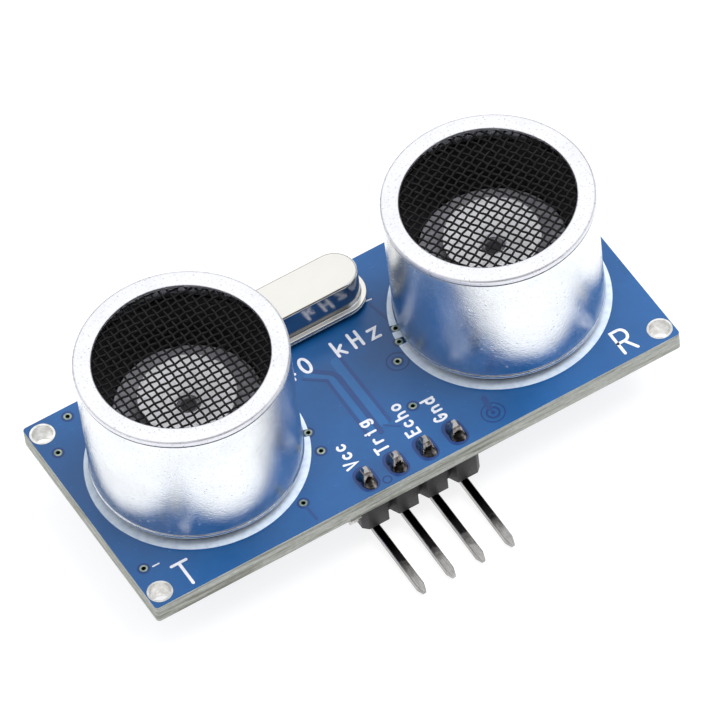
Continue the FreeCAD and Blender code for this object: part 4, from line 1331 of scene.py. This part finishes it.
def foot_solder(shape, put, side, reach, width, height, out):
    """A small concave fillet of solder at the end of a lead or an end cap."""
    points = []
    stations = 7
    for k in range(stations):
        t = k / (stations - 1)
        spread = width / 2 * (1 + 0.12 * t)
        surface = BACK - height * (1 - t) ** 2 - 0.02
        for b, z in ((-1, BACK + 0.005), (1, BACK + 0.005), (0.86, surface), (-0.86, surface)):
            points.append((*put(side * (reach + out * t), spread * b), z))
    shape.add(points, tube_faces(stations, 4))


def gull_wing(shape, x, y, side, root):
    """One gull-wing lead: out of the chip's body, down to its pad and out along it."""
    knee, foot_end, height, width = 2.3, 3.0, 0.85, 0.42
    high, low = BACK - height + LEAD_METAL / 2, BACK - LEAD_METAL / 2
    corners = [
        (x + side * (root - 0.05), y, high, 0),
        (x + side * (knee - 0.15), y, high, 0.16),
        (x + side * (knee + 0.06), y, low, 0.16),
        (x + side * foot_end, y, low, 0),
    ]
    path = rounded(corners, closed=False, steps=4)
    swept(shape, path, eased_rectangle(LEAD_METAL / 2, width / 2, 0.03), Vector((0, 1, 0)))


def make_chip(name, per_side, pads, fillets):
    """A chip in a flat package: its body with drawn-in faces, its mark and its leads."""
    low, high = span(f"{name}_body")
    x, y, middle = middle_of(f"{name}_body")
    width, length = high.x - low.x, high.y - low.y
    body, dot, leads = Shape(), Shape(), Shape()
    points = []
    for z, drawn_in in ((low.z, 0.13), (middle, 0.0), (high.z, 0.13)):
        a, b = width / 2 - drawn_in, length / 2 - drawn_in
        points += [(x - a, y - b, z), (x + a, y - b, z), (x + a, y + b, z), (x - a, y + b, z)]
    bevelled(body, points, tube_faces(3, 4), 0.06, sharp=8)
    body.stand_in(f"{name}_body", epoxy, "chip_epoxy", 25)
    corner = (x + width / 2 - 0.75, y + length / 2 - 0.75)
    annulus(dot, corner, 0.0, 0.32, low.z - 0.012, low.z + 0.05, 40)
    dot.make(f"{name}_pin_one_mark", mark_paint, "chip_epoxy", smooth=30)
    for n in range(per_side):
        at = y + (n - (per_side - 1) / 2) * LEAD_PITCH
        for side in SIDES:
            gull_wing(leads, x, at, side, width / 2)
            lay_pad(pads, (x + side * 2.15, at - 0.3), (x + side * 3.35, at + 0.3))
            foot_solder(fillets, placed(x, at), side, 2.96, 0.44, 0.17, 0.32)
    leads.stand_in(f"{name}_leads", lead_tin, "tinned_metal")


def make_transistor(pads):
    """A small three-legged package: two legs on one side and one on the other."""
    x, y, _ = middle_of("transistor_body")
    body, leads = Shape(), Shape()
    block(body, *span("transistor_body"), 0.07)
    body.stand_in("transistor_body", epoxy, "chip_epoxy", 25)
    for dx, side in ((-0.95, -1), (0.95, -1), (0.0, 1)):
        at = x + dx
        block(leads, (at - 0.21, y + side * 0.6, BACK - 0.2), (at + 0.21, y + side * 1.2, BACK), 0.04)
        lay_pad(pads, (at - 0.4, y + side * 0.85), (at + 0.4, y + side * 1.55))
    leads.stand_in("transistor_leads", lead_tin, "tinned_metal", 30)


def chip_part(bodies, ends, pads, fillets, put, deep, layered):
    """One chip resistor or capacitor: its body, wrapped metal ends, pads and fillets."""
    half, across = CHIP_LENGTH / 2, CHIP_WIDTH / 2
    inner = half - CAP_END + 0.02

    def piece(shape, a0, a1, b, lowest, highest, ease, kind=0):
        """A block between two depths under the board."""
        block(shape, (*put(a0, -b), BACK - lowest), (*put(a1, b), BACK - highest), ease, kind)

    if layered:
        piece(bodies, 0.03 - half, half - 0.03, across - 0.02, deep - 0.1, 0.02, 0.02, kind=1)
        piece(bodies, -inner, inner, across - 0.05, deep - 0.01, deep - 0.13, 0.025)
    else:
        piece(bodies, -inner - 0.1, inner + 0.1, across - 0.02, deep - 0.02, 0.02, 0.05)
    for side in SIDES:
        piece(ends, side * (half - CAP_END), side * half, across, deep, 0.005, 0.06)
        lay_pad(pads, put(side * (half - 0.45), -across - 0.05), put(side * (half + 0.35), across + 0.05))
        foot_solder(fillets, put, side, half - 0.03, CHIP_WIDTH * 0.95, deep * 0.72, 0.3)


def make_back():
    """Everything that is soldered on the back, with its pads and fillets."""
    pads, fillets = Shape(), Shape()
    for name, per_side in (("driver_chip", 8), ("controller_chip", 7), ("amplifier_chip", 7)):
        make_chip(name, per_side, pads, fillets)
    make_transistor(pads)
    for kind, places, finishes, slot, deep, layered in SMALL_PARTS:
        bodies, ends = Shape(), Shape()
        for place in places:
            chip_part(bodies, ends, pads, fillets, placed(*place), deep, layered)
        bodies.stand_in(f"{kind}_bodies", finishes, slot, 25)
        ends.stand_in(f"{kind}_end_caps", lead_tin, "tinned_metal", 25)
    pads.make("back_pads", tinned, "solder", smooth=30)
    fillets.make("back_solder", solder, "solder", smooth=50)


make_back()
make_back_silkscreen()

CAD_FINISHES = {
    "crystal_glass_beads": bead,
    "crystal_springs": brass,
    "crystal_quartz_blank": quartz,
    "transmitter_lead_wires": copper,
    "receiver_lead_wires": copper,
}
for node, finish in CAD_FINISHES.items():
    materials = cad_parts[node].data.materials
    materials.clear()
    materials.append(finish)

# ---------------------------------------------------------------- studio

FLOOR_REACH, FLOOR_GAP = 3.0, 0.00005
KEY_PLACE, KEY_SIZE, KEY_POWER = Vector((0.24, 0.0, 0.54)), 0.4, 2.7
ROOM_STRENGTH = 1.22


def make_floor():
    """A plain white table, which glows a little so that it stays pale."""
    finish = Finish("studio_floor", Specular_IOR_Level=0.1)
    cloud = finish.noise(400.0, 2.0)
    colour = finish.ramp(cloud, (0.3, grey(0.24)), (0.7, grey(0.26)))
    finish.use(colour, finish.level(cloud, 0.85, 0.95, 0.0, 1.0))
    finish.shader.inputs["Emission Color"].default_value = (1, 1, 1, 1)
    finish.shader.inputs["Emission Strength"].default_value = 0.83
    mesh = bpy.data.meshes.new("studio_floor")
    r, level = FLOOR_REACH, cad_low.z - FLOOR_GAP
    mesh.from_pydata([(-r, -r, level), (r, -r, level), (r, r, level), (-r, r, level)], [], [[0, 1, 2, 3]])
    mesh.materials.append(finish.material)
    floor = bpy.data.objects.new("studio_floor", mesh)
    scene.collection.objects.link(floor)


def make_key_light():
    """A square softbox high on the right, which no shiny surface mirrors."""
    light = bpy.data.lights.new("key_softbox", "AREA")
    light.shape = "RECTANGLE"
    light.size = light.size_y = KEY_SIZE
    light.energy = KEY_POWER
    lamp = bpy.data.objects.new("key_softbox", light)
    scene.collection.objects.link(lamp)
    lamp.visible_glossy = False
    lamp.location = KEY_PLACE
    lamp.rotation_mode = "QUATERNION"
    lamp.rotation_quaternion = (-KEY_PLACE).to_track_quat("-Z", "Y")


def make_world():
    """A pale tent on a white table: the room is dark just above the horizon, most of all in front."""
    world = bpy.data.worlds.new("studio")
    world.use_nodes = True
    sky = Nodes(world.node_tree)
    place = sky.node("ShaderNodeTexCoord").outputs["Generated"]
    fields = (
        (Vector((0, 0, 1)), ((0.0, 1.0), (0.46, 0.9), (0.5, 0.06), (0.6, 0.12), (0.775, 1.0))),
        (Vector((-0.15, -0.93, 0.25)).normalized(), ((0.0, 1.0), (0.79, 1.0), (0.93, 0.08))),
    )
    shades = []
    for direction, stops in fields:
        towards = sky.node("ShaderNodeVectorMath", operation="DOT_PRODUCT")
        towards.inputs[1].default_value = direction
        sky.link(place, towards.inputs[0])
        share = sky.level(towards.outputs["Value"], 0.0, 1.0, -1.0, 1.0)
        shades.append(sky.ramp(share, *[(at, grey(level)) for at, level in stops]))
    background = world.node_tree.nodes["Background"]
    sky.link(sky.tinted(*shades), background.inputs["Color"])
    background.inputs["Strength"].default_value = ROOM_STRENGTH
    scene.world = world


make_floor()
make_world()
make_key_light()

# ---------------------------------------------------------------- camera

CAMERA_PLACE = Vector((-160.91, -351.30, 490.27))
CAMERA_RIGHT = Vector((0.8562, -0.5099, -0.0834)).normalized()
CAMERA_BACK = Vector((-0.2603, -0.5650, 0.7829)).normalized()


def make_camera():
    """A long lens at the photographed angle."""
    lens = bpy.data.cameras.new("camera")
    lens.sensor_width = 36.0
    lens.lens = 421.2
    lens.clip_start, lens.clip_end = 0.01, 20.0
    camera = bpy.data.objects.new("camera", lens)
    scene.collection.objects.link(camera)
    up = CAMERA_BACK.cross(CAMERA_RIGHT).normalized()
    turn = Matrix((up.cross(CAMERA_BACK), up, CAMERA_BACK)).transposed()
    camera.matrix_world = Matrix.Translation(CAMERA_PLACE * MM) @ turn.to_4x4()
    scene.camera = camera
    scene.view_settings.view_transform = "Standard"
    scene.view_settings.look = "None"
    scene.view_settings.exposure = 0.0


make_camera()
